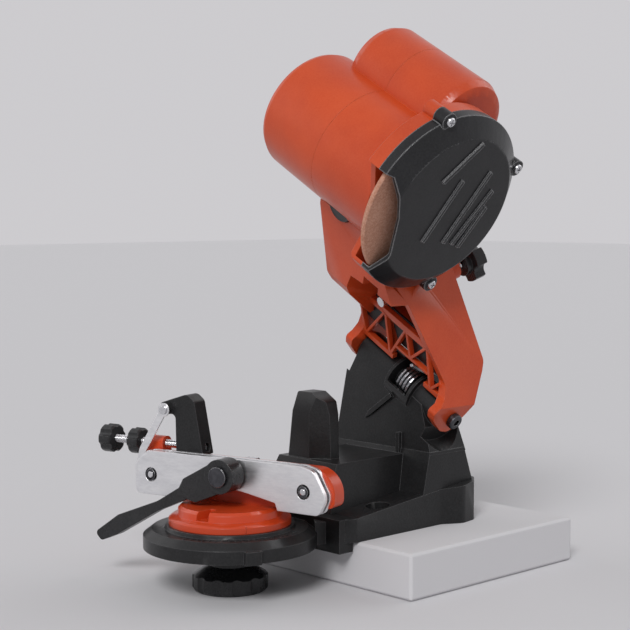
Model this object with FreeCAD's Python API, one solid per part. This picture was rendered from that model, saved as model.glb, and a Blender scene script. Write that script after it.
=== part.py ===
import FreeCAD, Part
import math
import os

# Electric chainsaw sharpener that is bolted to the edge of a bench. Millimetres and degrees.
#
# Bench frame: X to the user's right, Y away from the user, Z up, z = 0 on the bench top and the
# vise's stud at x = y = 0. Vise frame: the bench frame turned about Z by VISE_TURN. Head frame
# (a, y, u): a runs along the wheel's axis, which dips to the right by HEAD_TILT, and the origin
# is the point on the chain where the wheel cuts.

# Fits
RUNNING_FIT = 0.05
SLIDE_GAP = 0.2
SEAT_GAP = 0.1
COVER_GAP = 0.3

# Set-up of the machine
HEAD_TILT = 30.0
VISE_TURN = 15.0
GRIND_HEIGHT = 53.0
PIVOT_Y = 130.0
PIVOT_RISE = 40.4
WHEEL_Y = 84.0
WHEEL_RISE = 170.0

# Base
BENCH_BOLT_SPACING = 86.0
BENCH_BOLT_LINE = 80.0
BENCH_BOLT_HOLE = 6.6
BENCH_BOLT_SINK = 15.0
BENCH_BOLT_SEAT = 6.0
PLATFORM_RADIUS = 51.0
PLATFORM_DROP = 1.6
SEAT_RADIUS = 38.0
SEAT_HEIGHT = 12.0
STUD_BOSS_RADIUS = 16.0
PLATFORM_RIBS = 10
BASE_WALL = 4.5
RIB = 3.0
LIP_WIDTH = 98.0
LIP_DROP = 6.0
LIP_FRONT = 42.0
LIP_DEPTH = 11.0
SKIRT_WIDTH = 105.0
SKIRT_BACK = 161.0
SKIRT_FRONT_HEIGHT = 13.5
SKIRT_BACK_HEIGHT = 25.5
SKIRT_HOLLOW = 8.0
TOWER_FOOT = 44.0
TOWER_FRONT = 117.0
TOWER_BACK = 150.0
POST_FRONT = 60.0
POST_DEPTH = 15.0
POST_TOP = 83.4
POST_WIDTH = 30.0

# Hinge between the tower and the head
HINGE_BOLT = 6.0
HINGE_HEAD = 10.0
HINGE_HEAD_LENGTH = 4.0
HINGE_SOCKET = 4.0
HINGE_NUT_LENGTH = 5.0
BARREL_RADIUS = 11.0
WASHER = 1.0
WASHER_RADIUS = 7.0
EAR_RIGHT = 38.0
EAR_LEFT = -38.0
EAR_WALL = 6.0
EAR_SWEEP = 21.0
DRUM_RADIUS = 14.5
DRUM_START = -5.0
DRUM_LENGTH = 22.0
DRUM_WALL = 2.5
SLEEVE_RADIUS = 7.0
SPRING_WIRE = 2.2
SPRING_RADIUS = 9.7
SPRING_LENGTH = 12.0
SPRING_TURNS = 4
SPRING_LEG = 25.0

# Vise
VISE_FOOT_RADIUS = 36.0
VISE_STEP_RADIUS = 31.0
VISE_STEP_HEIGHT = 23.0
BLOCK_LEFT = -62.0
BLOCK_RIGHT = 70.0
BLOCK_DEPTH = 10.0
BLOCK_BOTTOM = 26.0
BLOCK_TOP = 48.5
PLATE_TOP = 50.5
PLATE_THICKNESS = 2.5
FRONT_PLATE_THICKNESS = 3.0
CHAIN_GAP = 3.0
REAR_PLATE_FRONT = 0.5
GUIDE_PIN = 6.8
GUIDE_PIN_SPACING = 108.0
GUIDE_PIN_HEIGHT = 36.0
GUIDE_PIN_PROUD = 0.6
GUIDE_PIN_DEPTH = 6.0
PLATE_HOLE_GAP = 0.9
DRAW_BOLT = 8.0
DRAW_BOLT_X = 5.0
DRAW_BOLT_Z = 42.0
LEVER_HUB_RADIUS = 10.0
LEVER_HUB_LENGTH = 11.5
LEVER_ARM = 6.0
LEVER_REACH = 84.0
STUD = 10.0
STUD_HOLD = 8.0
STUD_WASHER_RADIUS = 11.0
STUD_WASHER = 1.5

# Knob under the platform
KNOB_RADIUS = 22.4
KNOB_BOTTOM = -27.5
KNOB_GRIP = 8.8
KNOB_SHOULDER = 4.7
KNOB_HUB_RADIUS = 12.0
KNOB_SCALLOPS = 12
KNOB_INSERT_RADIUS = 8.0
KNOB_INSERT_LENGTH = 9.0

# Chain stop
ROD = 5.0
ROD_DEPTH = 9.4
ROD_LIFT = 4.5
ROD_END = -24.0
ROD_COLLAR = 1.5
ROD_KNOB_AT = -96.0
ROD_KNOB_RADIUS = 8.8
ROD_KNOB_LENGTH = 9.0
LOCK_KNOB_AT = -75.0
LOCK_KNOB_RADIUS = 8.0
LOCK_KNOB_LENGTH = 8.0
LUG_LEFT = -66.0
LUG_LENGTH = 13.0
LUG_WIDTH = 9.0
CARRIER_DEPTH = 11.0
CARRIER_LEFT = -41.5
PAWL_PIN = 3.0
PAWL_PIN_X = -48.0
PAWL_PIN_Z = 75.0
PAWL_THICKNESS = 1.0
PAWL_LENGTH = 40.0
PAWL_WIDTH = 5.0
PAWL_ANGLE = 57.9
PAWL_SPRING_WIRE = 0.5
PAWL_SPRING_TURNS = 2.2

# Wheel and its guard
WHEEL_DIAMETER = 108.0
WHEEL_THICKNESS = 3.2
WHEEL_BORE = 23.0
FLANGE_RADIUS = 16.0
INNER_FLANGE = 5.0
OUTER_FLANGE = 2.0
SPINDLE_NUT = 4.0
SPINDLE_NUT_FLATS = 13.0
GUARD_GAP = 1.0
GUARD_WALL = 2.0
GUARD_BACK = -14.0
GUARD_SPLIT = -3.0
COVER_SKIRT_END = 3.5
COVER_FACE = 12.0
COVER_FACE_INSET = 11.0
GUARD_SCREW = 3.0
GUARD_SCREW_HEAD = 6.0
GUARD_BOSS_RADIUS = 5.0
COVER_RIB = 1.2

# Motor and its housing
HOUSING_LEAD = 0.5
HOUSING_DROP = 2.0
HOUSING_RADIUS = 39.0
HOUSING_SEAM = -66.0
HOUSING_END = -119.0
HOUSING_EDGE = 5.0
REAR_LOBE_BACK = 26.0
REAR_LOBE_LIFT = 38.0
REAR_LOBE_RADIUS = 28.0
REAR_LOBE_START = -103.0
REAR_LOBE_LENGTH = 84.0
REAR_LOBE_EDGE = 8.0
GLAND_BACK = 12.0
GLAND_DROP = 16.0
GLAND_RADIUS = 5.0
GLAND_BORE = 2.6
GLAND_PROUD = 4.0
STATOR_RADIUS = 30.0
STATOR_BORE = 18.5
STATOR_START = -88.0
STATOR_LENGTH = 46.0
ROTOR_RADIUS = 17.5
ROTOR_START = -86.0
ROTOR_LENGTH = 42.0
SHAFT = 8.0
SHAFT_END = -105.0
SHAFT_NOSE = 8.6
COMMUTATOR_RADIUS = 9.0
COMMUTATOR_START = -97.0
COMMUTATOR_LENGTH = 8.0
FAN_RADIUS = 27.0
FAN_START = -38.0
FAN_LENGTH = 8.0
FAN_BLADES = 12
FRONT_BEARING_RADIUS = 13.0
FRONT_BEARING_WIDTH = 8.0
FRONT_BEARING_START = -24.0
REAR_BEARING_RADIUS = 11.0
REAR_BEARING_WIDTH = 6.0

# Arm of the head
ARM_WALL = 5.0
FORK_SHOULDER = 50.0
NECK_LEFT = -69.0
NECK_REACH = 11.0
ARM_BACK_REACH = 21.0
LATTICE = 3.5
LATTICE_BAR = 1.8
LATTICE_TOP_RAIL = 22.5
LATTICE_LOW_RAIL = 50.0
PANEL = 1.5
LATTICE_ARCH = 40.5
LEG_SLANT = 1.5
BUTTON_RADIUS = 11.0
BUTTON_A = -49.0
BUTTON_LIFT = 7.0
BUTTON_SAGITTA = 7.0
BUTTON_PROUD = 1.8
BUTTON_DEPTH = 8.0

# Depth stop on the arm
STOP_A = -15.0
STOP_TIP_Y = 93.1
STOP_TIP_RISE = 90.4
STOP_SLOPE = 23.0
STOP_SLOT = 14.0
STOP_SCREW = 5.5
STOP_TIP_RADIUS = 3.2
STOP_TIP_LENGTH = 5.0
STOP_SCREW_LENGTH = 78.0
STOP_KNOB_RADIUS = 13.0
STOP_KNOB_LENGTH = 14.0
STOP_BOSS_RADIUS = 7.0
STOP_BOSS_START = 44.0
STOP_BOSS_LENGTH = 15.0


def vec(x, y, z):
    return FreeCAD.Vector(x, y, z)


def rounded_wire(corners, place):
    """Closed outline through corners (p, q, radius); place(p, q) gives the point in space."""
    flat = [FreeCAD.Vector(c[0], c[1], 0) for c in corners]
    stops = []
    for i, corner in enumerate(corners):
        here, radius = flat[i], (corner[2] if len(corner) > 2 else 0)
        if not radius:
            stops.append((here, None, here))
            continue
        back = (flat[i - 1] - here).normalize()
        ahead = (flat[(i + 1) % len(flat)] - here).normalize()
        half = back.getAngle(ahead) / 2
        cut_back = radius / math.tan(half)
        bisector = (back + ahead).normalize()
        middle = here + bisector * (radius / math.sin(half) - radius)
        stops.append((here + back * cut_back, middle, here + ahead * cut_back))
    edges = []
    for i, (start, middle, end) in enumerate(stops):
        if middle:
            edges.append(Part.Arc(place(start.x, start.y), place(middle.x, middle.y),
                                  place(end.x, end.y)).toShape())
        following = stops[(i + 1) % len(stops)][0]
        if end.distanceToPoint(following) > 1e-6:
            edges.append(Part.makeLine(place(end.x, end.y), place(following.x, following.y)))
    return Part.Wire(edges)


def prism_x(corners, start, end):
    """Outline (y, z, radius) drawn out along X."""
    face = Part.Face(rounded_wire(corners, lambda p, q: vec(start, p, q)))
    return face.extrude(vec(end - start, 0, 0))


def prism_y(corners, start, end):
    """Outline (x, z, radius) drawn out along Y."""
    face = Part.Face(rounded_wire(corners, lambda p, q: vec(p, start, q)))
    return face.extrude(vec(0, end - start, 0))


def prism_z(corners, start, end):
    """Outline (x, y, radius) drawn out along Z."""
    face = Part.Face(rounded_wire(corners, lambda p, q: vec(p, q, start)))
    return face.extrude(vec(0, 0, end - start))


def box(x0, x1, y0, y1, z0, z1):
    return Part.makeBox(x1 - x0, y1 - y0, z1 - z0, vec(x0, y0, z0))


def rod(radius, start, direction, length):
    return Part.makeCylinder(radius, length, start, direction)


def cyl_a(radius, start, end, y=WHEEL_Y, u=WHEEL_RISE):
    """Cylinder along the wheel's axis, in the head frame."""
    return rod(radius, vec(start, y, u), vec(1, 0, 0), end - start)


def ring_a(outer, inner, start, end, y=WHEEL_Y, u=WHEEL_RISE):
    return cyl_a(outer, start, end, y, u).cut(cyl_a(inner, start, end, y, u))


def cyl_y(radius, x, z, start, end):
    return rod(radius, vec(x, start, z), vec(0, 1, 0), end - start)


def cyl_z(radius, start, end, x=0, y=0):
    return rod(radius, vec(x, y, start), vec(0, 0, 1), end - start)


def revolve_z(corners):
    """Outline (radius, z, rounding) turned about the vise's stud."""
    face = Part.Face(rounded_wire(corners, lambda p, q: vec(p, 0, q)))
    return face.revolve(vec(0, 0, 0), vec(0, 0, 1), 360)


def revolve_a(corners):
    """Outline (a, radius, rounding) turned about the wheel's axis, in the head frame."""
    face = Part.Face(rounded_wire(corners, lambda p, q: vec(p, WHEEL_Y, WHEEL_RISE + q)))
    return face.revolve(vec(0, WHEEL_Y, WHEEL_RISE), vec(1, 0, 0), 360)


def frustum(low, bottom, high, top):
    """Tapered block between two rectangles (x0, x1, y0, y1) at two heights."""
    def outline(rectangle, z):
        x0, x1, y0, y1 = rectangle
        return Part.makePolygon([vec(x0, y0, z), vec(x1, y0, z), vec(x1, y1, z),
                                 vec(x0, y1, z), vec(x0, y0, z)])
    return Part.makeLoft([outline(bottom, low), outline(top, high)], True, True)


def fuse(shapes):
    return shapes[0].multiFuse(shapes[1:]).removeSplitter()


def cut(shape, tools):
    return shape.cut(tools).removeSplitter()


def largest(shape):
    return max(shape.Solids, key=lambda solid: solid.Volume)


def around(shape, count, centre, axis):
    """Copies of shape, evenly spaced about an axis."""
    copies = []
    for i in range(count):
        copy = shape.copy()
        copy.rotate(centre, axis, 360 * i / count)
        copies.append(copy)
    return copies


def tilt(shape):
    """From the head frame to the bench frame."""
    shape = shape.copy()
    shape.rotate(vec(0, 0, 0), vec(0, 1, 0), HEAD_TILT)
    shape.translate(vec(0, 0, GRIND_HEIGHT))
    return shape


def turn(shape):
    """From the vise frame to the bench frame."""
    shape = shape.copy()
    shape.rotate(vec(0, 0, 0), vec(0, 0, 1), VISE_TURN)
    return shape


def save(name, shape):
    """Write a node, with the line of bench bolts as the part's origin."""
    shape = shape.copy()
    shape.translate(vec(0, -BENCH_BOLT_LINE, 0))
    shape.exportStep("parts/" + name + ".step")


# Base ---------------------------------------------------------------------------------------

BARREL_END_RIGHT = EAR_RIGHT - WASHER - 2 * SEAT_GAP
BARREL_END_LEFT = EAR_LEFT + WASHER + 2 * SEAT_GAP


def platform():
    """Round swivel platform, hollow underneath, with ribs and a boss for the stud."""
    rim = PLATFORM_RADIUS
    body = revolve_z([(0, -PLATFORM_DROP), (rim, -PLATFORM_DROP), (rim, SEAT_HEIGHT - 6),
                      (rim - 5, SEAT_HEIGHT - 2.2), (SEAT_RADIUS + 0.6, SEAT_HEIGHT - 2.2),
                      (SEAT_RADIUS, SEAT_HEIGHT), (0, SEAT_HEIGHT)])
    hollow = cyl_z(rim - BASE_WALL, -PLATFORM_DROP, SEAT_HEIGHT - 6)
    hollow = hollow.cut(cyl_z(STUD_BOSS_RADIUS, -PLATFORM_DROP, SEAT_HEIGHT))
    spoke = box(STUD_BOSS_RADIUS - 1, rim, -RIB / 2, RIB / 2, -PLATFORM_DROP, SEAT_HEIGHT)
    hollow = hollow.cut(around(spoke, PLATFORM_RIBS, vec(0, 0, 0), vec(0, 0, 1)))
    scale_pad = prism_z([(rim - 5, -5), (rim + 3.5, -5, 2), (rim + 3.5, 5, 2), (rim - 5, 5)],
                        -PLATFORM_DROP, SEAT_HEIGHT - 6)
    scale_pad.rotate(vec(0, 0, 0), vec(0, 0, 1), -26)
    return body.cut(hollow).fuse(scale_pad)


def skirt():
    """Hollow rear half of the base that stands on the bench, with the lip at its front."""
    half = SKIRT_WIDTH / 2
    back = SKIRT_BACK
    plan = [(half - 3.5, LIP_FRONT + 4, 2), (half, LIP_FRONT + LIP_DEPTH, 3), (half, 127, 8),
            (half + 7.1, 140, 8), (half + 4.5, back - 8, 5), (half - 2.5, back, 5)]
    plan = plan + [(-x, y, r) for x, y, r in reversed(plan)]
    slope = prism_x([(0, 0), (back + 10, 0), (back + 10, SKIRT_BACK_HEIGHT + 1), (back,
                     SKIRT_BACK_HEIGHT), (LIP_FRONT + 4, SKIRT_FRONT_HEIGHT),
                     (0, SKIRT_FRONT_HEIGHT)], -half - 20, half + 20)
    body = prism_z(plan, 0, SKIRT_BACK_HEIGHT + 1).common(slope)
    lip = box(-LIP_WIDTH / 2, LIP_WIDTH / 2, LIP_FRONT, LIP_FRONT + LIP_DEPTH, -LIP_DROP,
              SEAT_HEIGHT + 2)
    neck = prism_z([(-37, 0), (37, 0), (33, 30), (38, LIP_FRONT + 2), (-38, LIP_FRONT + 2),
                    (-33, 30)], -PLATFORM_DROP, SEAT_HEIGHT - 0.5)
    neck = neck.cut(cyl_z(PLATFORM_RADIUS - 1, -LIP_DROP, SEAT_HEIGHT + 5))
    inner = half - BASE_WALL
    hollow = box(-inner, inner, LIP_FRONT + LIP_DEPTH + BASE_WALL, back - 8 - BASE_WALL, 0,
                 SKIRT_HOLLOW)
    ribs = [box(x - RIB / 2, x + RIB / 2, 0, back, 0, SKIRT_HOLLOW)
            for x in (-inner / 2, 0, inner / 2)]
    ribs += [box(-inner, inner, y - RIB / 2, y + RIB / 2, 0, SKIRT_HOLLOW)
             for y in (BENCH_BOLT_LINE, BENCH_BOLT_LINE + 25, BENCH_BOLT_LINE + 50)]
    ribs += [cyl_z(BENCH_BOLT_SINK / 2, 0, SKIRT_HOLLOW, side * BENCH_BOLT_SPACING / 2,
                   BENCH_BOLT_LINE) for side in (-1, 1)]
    return fuse([body, lip, neck]).cut(hollow.cut(ribs))


def tower():
    """Shoulders and the leaning tower, cut off square to the head's tilt at the hinge."""
    pedestal = frustum(SEAT_HEIGHT, (-33, 33, 50, 122), TOWER_FOOT - 1, (-21, 30, 58, 122))
    shoulder = frustum(SEAT_HEIGHT + 5, (-52, 52.4, 110, 159), TOWER_FOOT + 2,
                       (-31.5, 52, TOWER_FRONT, TOWER_BACK - 1))
    column = frustum(TOWER_FOOT, (-31.3, 52.3, TOWER_FRONT, TOWER_BACK), TOWER_FOOT + 68,
                     (-19.4, 31.6, TOWER_FRONT + 3, TOWER_BACK - 9))
    column = column.cut([tilt(box(-150, 150, 0, 250, PIVOT_RISE, PIVOT_RISE + 100))]
                        + [tilt(cyl_a(EAR_SWEEP, start, end, PIVOT_Y, PIVOT_RISE))
                           for start, end in ((BARREL_END_RIGHT, EAR_RIGHT + 30),
                                              (EAR_LEFT - 30, BARREL_END_LEFT))])
    front = TOWER_FRONT - 0.6
    brace = prism_y([(-4, 62), (0, 64), (19.5, 77.5), (18, 80), (-1, 67)], front, front + 5)
    rib = box(24.6, 27.6, front - 1.4, front + 5, 33, 56)
    return fuse([pedestal, shoulder, column, brace, rib])


def stop_post():
    """Post that the depth stop lands on."""
    half = POST_WIDTH / 2
    back = POST_FRONT + POST_DEPTH
    front_view = prism_y([(-half, 40), (half, 40), (half - 0.7, 70), (half - 2.5, 78, 2),
                          (3, POST_TOP + 0.1), (-9.3, POST_TOP, 1.5)], POST_FRONT, back)
    side_view = prism_x([(POST_FRONT, 40), (back, 40), (back, POST_TOP + 1),
                         (POST_FRONT + 3.5, POST_TOP + 1), (POST_FRONT, POST_TOP - 12)],
                        -half, half)
    plan = prism_z([(-half, POST_FRONT), (4, POST_FRONT), (half, POST_FRONT + 8), (half, back),
                    (-half, back)], 40, POST_TOP + 1)
    return front_view.common(side_view).common(plan)


def spring_leg():
    """Angle on the coil where the moving leg leaves it, and the leg's length to the lattice."""
    lift = LATTICE / 2 + LEG_SLANT * (SPRING_WIRE / 2 + COVER_GAP)
    contact = lattice_point(0, LATTICE_ARCH + LATTICE_BAR / 2, lift)
    y, u = contact.y - PIVOT_Y, contact.z - PIVOT_RISE
    reach = math.hypot(y, u)
    leave = math.atan2(u, y) - math.acos(SPRING_RADIUS / reach)
    return leave, math.sqrt(reach ** 2 - SPRING_RADIUS ** 2) + SPRING_WIRE


def base_parts():
    """Black base in two mouldings: the foot with its platform, and the upright with the hinge."""
    barrel = cyl_a(BARREL_RADIUS, BARREL_END_LEFT, BARREL_END_RIGHT, PIVOT_Y, PIVOT_RISE)
    drum_end = DRUM_START + DRUM_LENGTH
    drum = cyl_a(DRUM_RADIUS, DRUM_START, drum_end, PIVOT_Y, PIVOT_RISE)
    foot = fuse([platform(), skirt()])
    upright = fuse([tower(), stop_post(), tilt(barrel), tilt(drum)]).cut(foot)
    hollow = ring_a(DRUM_RADIUS - DRUM_WALL, SLEEVE_RADIUS, DRUM_START + DRUM_WALL - 0.5,
                    drum_end - DRUM_WALL + 0.5, PIVOT_Y, PIVOT_RISE)
    window = box(DRUM_START + DRUM_WALL - 0.5, drum_end - DRUM_WALL + 0.5,
                 PIVOT_Y - DRUM_RADIUS - 4, PIVOT_Y + 2, PIVOT_RISE - 2,
                 PIVOT_RISE + DRUM_RADIUS + 4)
    window = window.cut(cyl_a(SLEEVE_RADIUS, DRUM_START, drum_end, PIVOT_Y, PIVOT_RISE))
    leg_hole = rod(SPRING_WIRE / 2 + SLIDE_GAP, vec(0, PIVOT_Y + SPRING_RADIUS, PIVOT_RISE),
                   vec(0, 0, -1), SPRING_LEG + 2)
    bolt = cyl_a(HINGE_BOLT / 2 + RUNNING_FIT, BARREL_END_LEFT - 1, BARREL_END_RIGHT + 1,
                 PIVOT_Y, PIVOT_RISE)
    holes = [tilt(hollow), tilt(window), tilt(leg_hole), tilt(bolt),
             cyl_z(STUD / 2 + SLIDE_GAP, -PLATFORM_DROP, SEAT_HEIGHT)]
    for side in (-1, 1):
        x = side * BENCH_BOLT_SPACING / 2
        holes.append(cyl_z(BENCH_BOLT_HOLE / 2, 0, SKIRT_BACK_HEIGHT, x, BENCH_BOLT_LINE))
        holes.append(cyl_z(BENCH_BOLT_SINK / 2, BENCH_BOLT_SEAT, SKIRT_BACK_HEIGHT + 10, x,
                           BENCH_BOLT_LINE))
    return cut(foot, holes), largest(cut(upright, holes))


def bent_wire(points, radius, sides):
    """Bar of spring wire with flat sides, bent along the points."""
    along = (points[1] - points[0]).normalize()
    across = along.cross(vec(1, 2, 3)).normalize()
    up = along.cross(across)
    ring = [points[0] + across * (radius * math.cos(2 * math.pi * i / sides))
            + up * (radius * math.sin(2 * math.pi * i / sides)) for i in range(sides)]
    profile = Part.makePolygon(ring + ring[:1])
    return Part.makePolygon(points).makePipeShell([profile], True, True, 1)


def coil(radius, length, turns, steps):
    """Points of a coil about Z that starts on the X axis, with so many steps to the turn."""
    count = round(turns * steps)
    points = []
    for i in range(count + 1):
        angle = 2 * math.pi * turns * i / count
        points.append(vec(radius * math.cos(angle), radius * math.sin(angle), length * i / count))
    return points


def return_spring():
    """Torsion spring: one leg in the tower, the other against the lattice of the arm."""
    leave, leg = spring_leg()
    turns = coil(SPRING_RADIUS, SPRING_LENGTH, SPRING_TURNS + leave / (2 * math.pi), 20)
    fixed_end = vec(SPRING_RADIUS, -SPRING_LEG, 0)
    free_end = turns[-1] + vec(-math.sin(leave), math.cos(leave), 0) * leg
    shape = bent_wire([fixed_end] + turns + [free_end], SPRING_WIRE / 2, 8)
    shape.rotate(vec(0, 0, 0), vec(1, 1, 1), 120)
    shape.translate(vec(0, PIVOT_Y, PIVOT_RISE))
    return tilt(shape)


def hinge_parts():
    """Hinge bolt with its round head, nut and the two washers beside the barrel."""
    at = (PIVOT_Y, PIVOT_RISE)
    right = EAR_RIGHT + EAR_WALL + COVER_GAP
    left = EAR_LEFT - EAR_WALL - COVER_GAP
    shank = cyl_a(HINGE_BOLT / 2, left - HINGE_NUT_LENGTH - 1, right, *at)
    head = cyl_a(HINGE_HEAD / 2, right, right + HINGE_HEAD_LENGTH, *at)
    head = head.makeChamfer(0.8, [head.Edges[0]])
    socket = hexagon_a(HINGE_SOCKET, right + HINGE_HEAD_LENGTH - 2.5, right + HINGE_HEAD_LENGTH, *at)
    bolt = fuse([shank, head]).cut(socket)
    nut = hexagon_a(HINGE_HEAD, left - HINGE_NUT_LENGTH, left, *at)
    nut = nut.cut(cyl_a(HINGE_BOLT / 2 + RUNNING_FIT, left - HINGE_NUT_LENGTH, left, *at))
    bore = HINGE_BOLT / 2 + SEAT_GAP
    washers = [ring_a(WASHER_RADIUS, bore, BARREL_END_RIGHT + SEAT_GAP,
                      BARREL_END_RIGHT + SEAT_GAP + WASHER, *at),
               ring_a(WASHER_RADIUS, bore, BARREL_END_LEFT - SEAT_GAP - WASHER,
                      BARREL_END_LEFT - SEAT_GAP, *at)]
    return bolt, nut, washers


def hexagon_a(flats, start, end, y, u):
    """Hexagonal bar along the wheel's axis, by its width across flats."""
    radius = flats / math.sqrt(3)
    corners = [(y + radius * math.cos(math.radians(60 * i)),
                u + radius * math.sin(math.radians(60 * i))) for i in range(6)]
    return prism_x(corners, start, end)


# Vise ---------------------------------------------------------------------------------------

BLOCK_FRONT = REAR_PLATE_FRONT + PLATE_THICKNESS
ROD_HEIGHT = BLOCK_TOP + ROD_LIFT
FRONT_PLATE_BACK = REAR_PLATE_FRONT - CHAIN_GAP
FRONT_PLATE_FRONT = FRONT_PLATE_BACK - FRONT_PLATE_THICKNESS
LEVER_BACK = FRONT_PLATE_FRONT - SLIDE_GAP - 1.6
CARRIER_FRONT = BLOCK_FRONT + SLIDE_GAP


def guide_pin_places():
    return [side * GUIDE_PIN_SPACING / 2 for side in (-1, 1)]


def vise_body():
    """Orange casting: round foot, step, jaw block and the lug that holds the stop rod."""
    low = SEAT_HEIGHT
    foot = revolve_z([(0, low), (VISE_FOOT_RADIUS, low), (VISE_FOOT_RADIUS, low + 3.5),
                      (VISE_FOOT_RADIUS - 2, low + 5), (VISE_STEP_RADIUS, low + 5.6),
                      (VISE_STEP_RADIUS - 0.6, VISE_STEP_HEIGHT - 1.6),
                      (VISE_STEP_RADIUS - 2.4, VISE_STEP_HEIGHT), (0, VISE_STEP_HEIGHT)])
    notch = prism_z([(-3, -VISE_FOOT_RADIUS), (7, -VISE_FOOT_RADIUS), (4, -19, 1),
                     (0, -19, 1)], low + 6, VISE_STEP_HEIGHT)
    back = BLOCK_FRONT + BLOCK_DEPTH
    block = prism_y([(BLOCK_LEFT, BLOCK_TOP, 3), (BLOCK_LEFT, BLOCK_BOTTOM + 3, 5),
                     (-36, BLOCK_BOTTOM, 3), (-26, VISE_STEP_HEIGHT - 1), (26,
                      VISE_STEP_HEIGHT - 1), (36, BLOCK_BOTTOM, 3), (BLOCK_RIGHT, BLOCK_BOTTOM, 5),
                     (BLOCK_RIGHT, BLOCK_TOP, 15)], BLOCK_FRONT, back)
    webs = [prism_x([(back - 1, VISE_STEP_HEIGHT - 1), (back + 13, VISE_STEP_HEIGHT - 1),
                     (back - 1, BLOCK_TOP - 8)], x, x + RIB) for x in (-18, 20)]
    middle = ROD_DEPTH
    lug = prism_x([(middle - LUG_WIDTH / 2, BLOCK_TOP - 2), (middle + LUG_WIDTH / 2, BLOCK_TOP - 2),
                   (middle + LUG_WIDTH / 2, ROD_HEIGHT + 4.5, 4),
                   (middle - LUG_WIDTH / 2, ROD_HEIGHT + 4.5, 4)], LUG_LEFT, LUG_LEFT + LUG_LENGTH)
    holes = [rod(ROD / 2 + RUNNING_FIT, vec(LUG_LEFT - 1, middle, ROD_HEIGHT), vec(1, 0, 0),
                 LUG_LENGTH + 2),
             cyl_z(STUD / 2 + RUNNING_FIT, low, low + STUD_HOLD + 0.5),
             cyl_y(DRAW_BOLT / 2 + RUNNING_FIT, DRAW_BOLT_X, DRAW_BOLT_Z, BLOCK_FRONT, back)]
    holes += [cyl_y(GUIDE_PIN / 2 + RUNNING_FIT, x, GUIDE_PIN_HEIGHT, BLOCK_FRONT,
                    BLOCK_FRONT + GUIDE_PIN_DEPTH + 0.5) for x in guide_pin_places()]
    return turn(cut(fuse([foot.cut(notch), block, lug] + webs), holes))


def chain_plate(front, back, pin_gap):
    """One of the two long plates that the chain's links run between."""
    outline = [(-65, 24, 3), (-36.5, 24, 1), (-35, 27.8, 1), (0, 34.5, 90), (35, 27.8, 1),
               (36.5, 23.4, 1), (64, 23.2, 4), (69.3, 33.1, 8), (60.5, PLATE_TOP - 2, 6),
               (52, PLATE_TOP, 6), (-56.5, PLATE_TOP, 3), (-66, 42, 6)]
    plate = prism_y(outline, front, back)
    holes = [cyl_y(GUIDE_PIN / 2 + pin_gap, x, GUIDE_PIN_HEIGHT, front, back)
             for x in guide_pin_places()]
    holes.append(cyl_y(DRAW_BOLT / 2 + SEAT_GAP, DRAW_BOLT_X, DRAW_BOLT_Z, front, back))
    return turn(plate.cut(holes))


def guide_pin(x):
    """Pin screwed into the jaw block; the front plate slides on it."""
    front = FRONT_PLATE_FRONT - GUIDE_PIN_PROUD
    pin = cyl_y(GUIDE_PIN / 2, x, GUIDE_PIN_HEIGHT, front, BLOCK_FRONT + GUIDE_PIN_DEPTH)
    slot = box(x - 2.4, x + 2.4, front, front + 1, GUIDE_PIN_HEIGHT - 0.6, GUIDE_PIN_HEIGHT + 0.6)
    return turn(pin.cut(slot))


def draw_bolt():
    """Bolt that the lever turns on, through both plates and the jaw block."""
    front = LEVER_BACK - LEVER_HUB_LENGTH
    shank = cyl_y(DRAW_BOLT / 2, DRAW_BOLT_X, DRAW_BOLT_Z, front - SEAT_GAP,
                  BLOCK_FRONT + BLOCK_DEPTH + 6)
    head = cyl_y(DRAW_BOLT / 2 + 2, DRAW_BOLT_X, DRAW_BOLT_Z, front - SEAT_GAP - 2,
                 front - SEAT_GAP)
    collar = cyl_y(DRAW_BOLT / 2 + 2.5, DRAW_BOLT_X, DRAW_BOLT_Z, LEVER_BACK + SEAT_GAP,
                   FRONT_PLATE_FRONT - SEAT_GAP)
    return turn(fuse([shank, head, collar]))


def draw_nut():
    """Nut behind the jaw block."""
    back = BLOCK_FRONT + BLOCK_DEPTH + RUNNING_FIT
    radius = (DRAW_BOLT + 5) / math.sqrt(3)
    corners = [(DRAW_BOLT_X + radius * math.cos(math.radians(60 * i)),
                DRAW_BOLT_Z + radius * math.sin(math.radians(60 * i))) for i in range(6)]
    nut = prism_y(corners, back, back + 5)
    return turn(nut.cut(cyl_y(DRAW_BOLT / 2 + RUNNING_FIT, DRAW_BOLT_X, DRAW_BOLT_Z, back,
                              back + 5)))


def clamp_lever():
    """Lever in front of the plates, with a slim arm and a broad paddle."""
    x, z, reach = DRAW_BOLT_X, DRAW_BOLT_Z, LEVER_REACH
    front = LEVER_BACK - LEVER_HUB_LENGTH
    hub = cyl_y(LEVER_HUB_RADIUS, x, z, front, LEVER_BACK)
    boss = prism_y([(x - 2, z + 9.6, 3), (x - 26.5, z - 3.7, 3), (x - 31.4, z - 13, 2),
                    (x - 18, z - 17, 4), (x + 9, z - 6, 4)], front + 1.5, LEVER_BACK - 1.5)
    arm = prism_y([(x - 26, z - 7), (x - 46, z - 19, 20), (x - reach + 8, z - 30.5, 4),
                   (x - reach - 10, z - 43, 2.5), (x - reach - 5, z - 47.7, 2.5),
                   (x - reach + 7, z - 42.7, 8), (x - 46, z - 19 - LEVER_ARM, 20),
                   (x - 24, z - 15.5)], front + 2.5, LEVER_BACK - 2.5)
    lever = fuse([hub, boss, arm])
    return turn(lever.cut(cyl_y(DRAW_BOLT / 2 + RUNNING_FIT, x, z, front, LEVER_BACK)))


def vise_stud():
    """Stud that holds the vise down on the platform."""
    top = SEAT_HEIGHT + STUD_HOLD
    return cyl_z(STUD / 2, KNOB_BOTTOM + 3, top)


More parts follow.
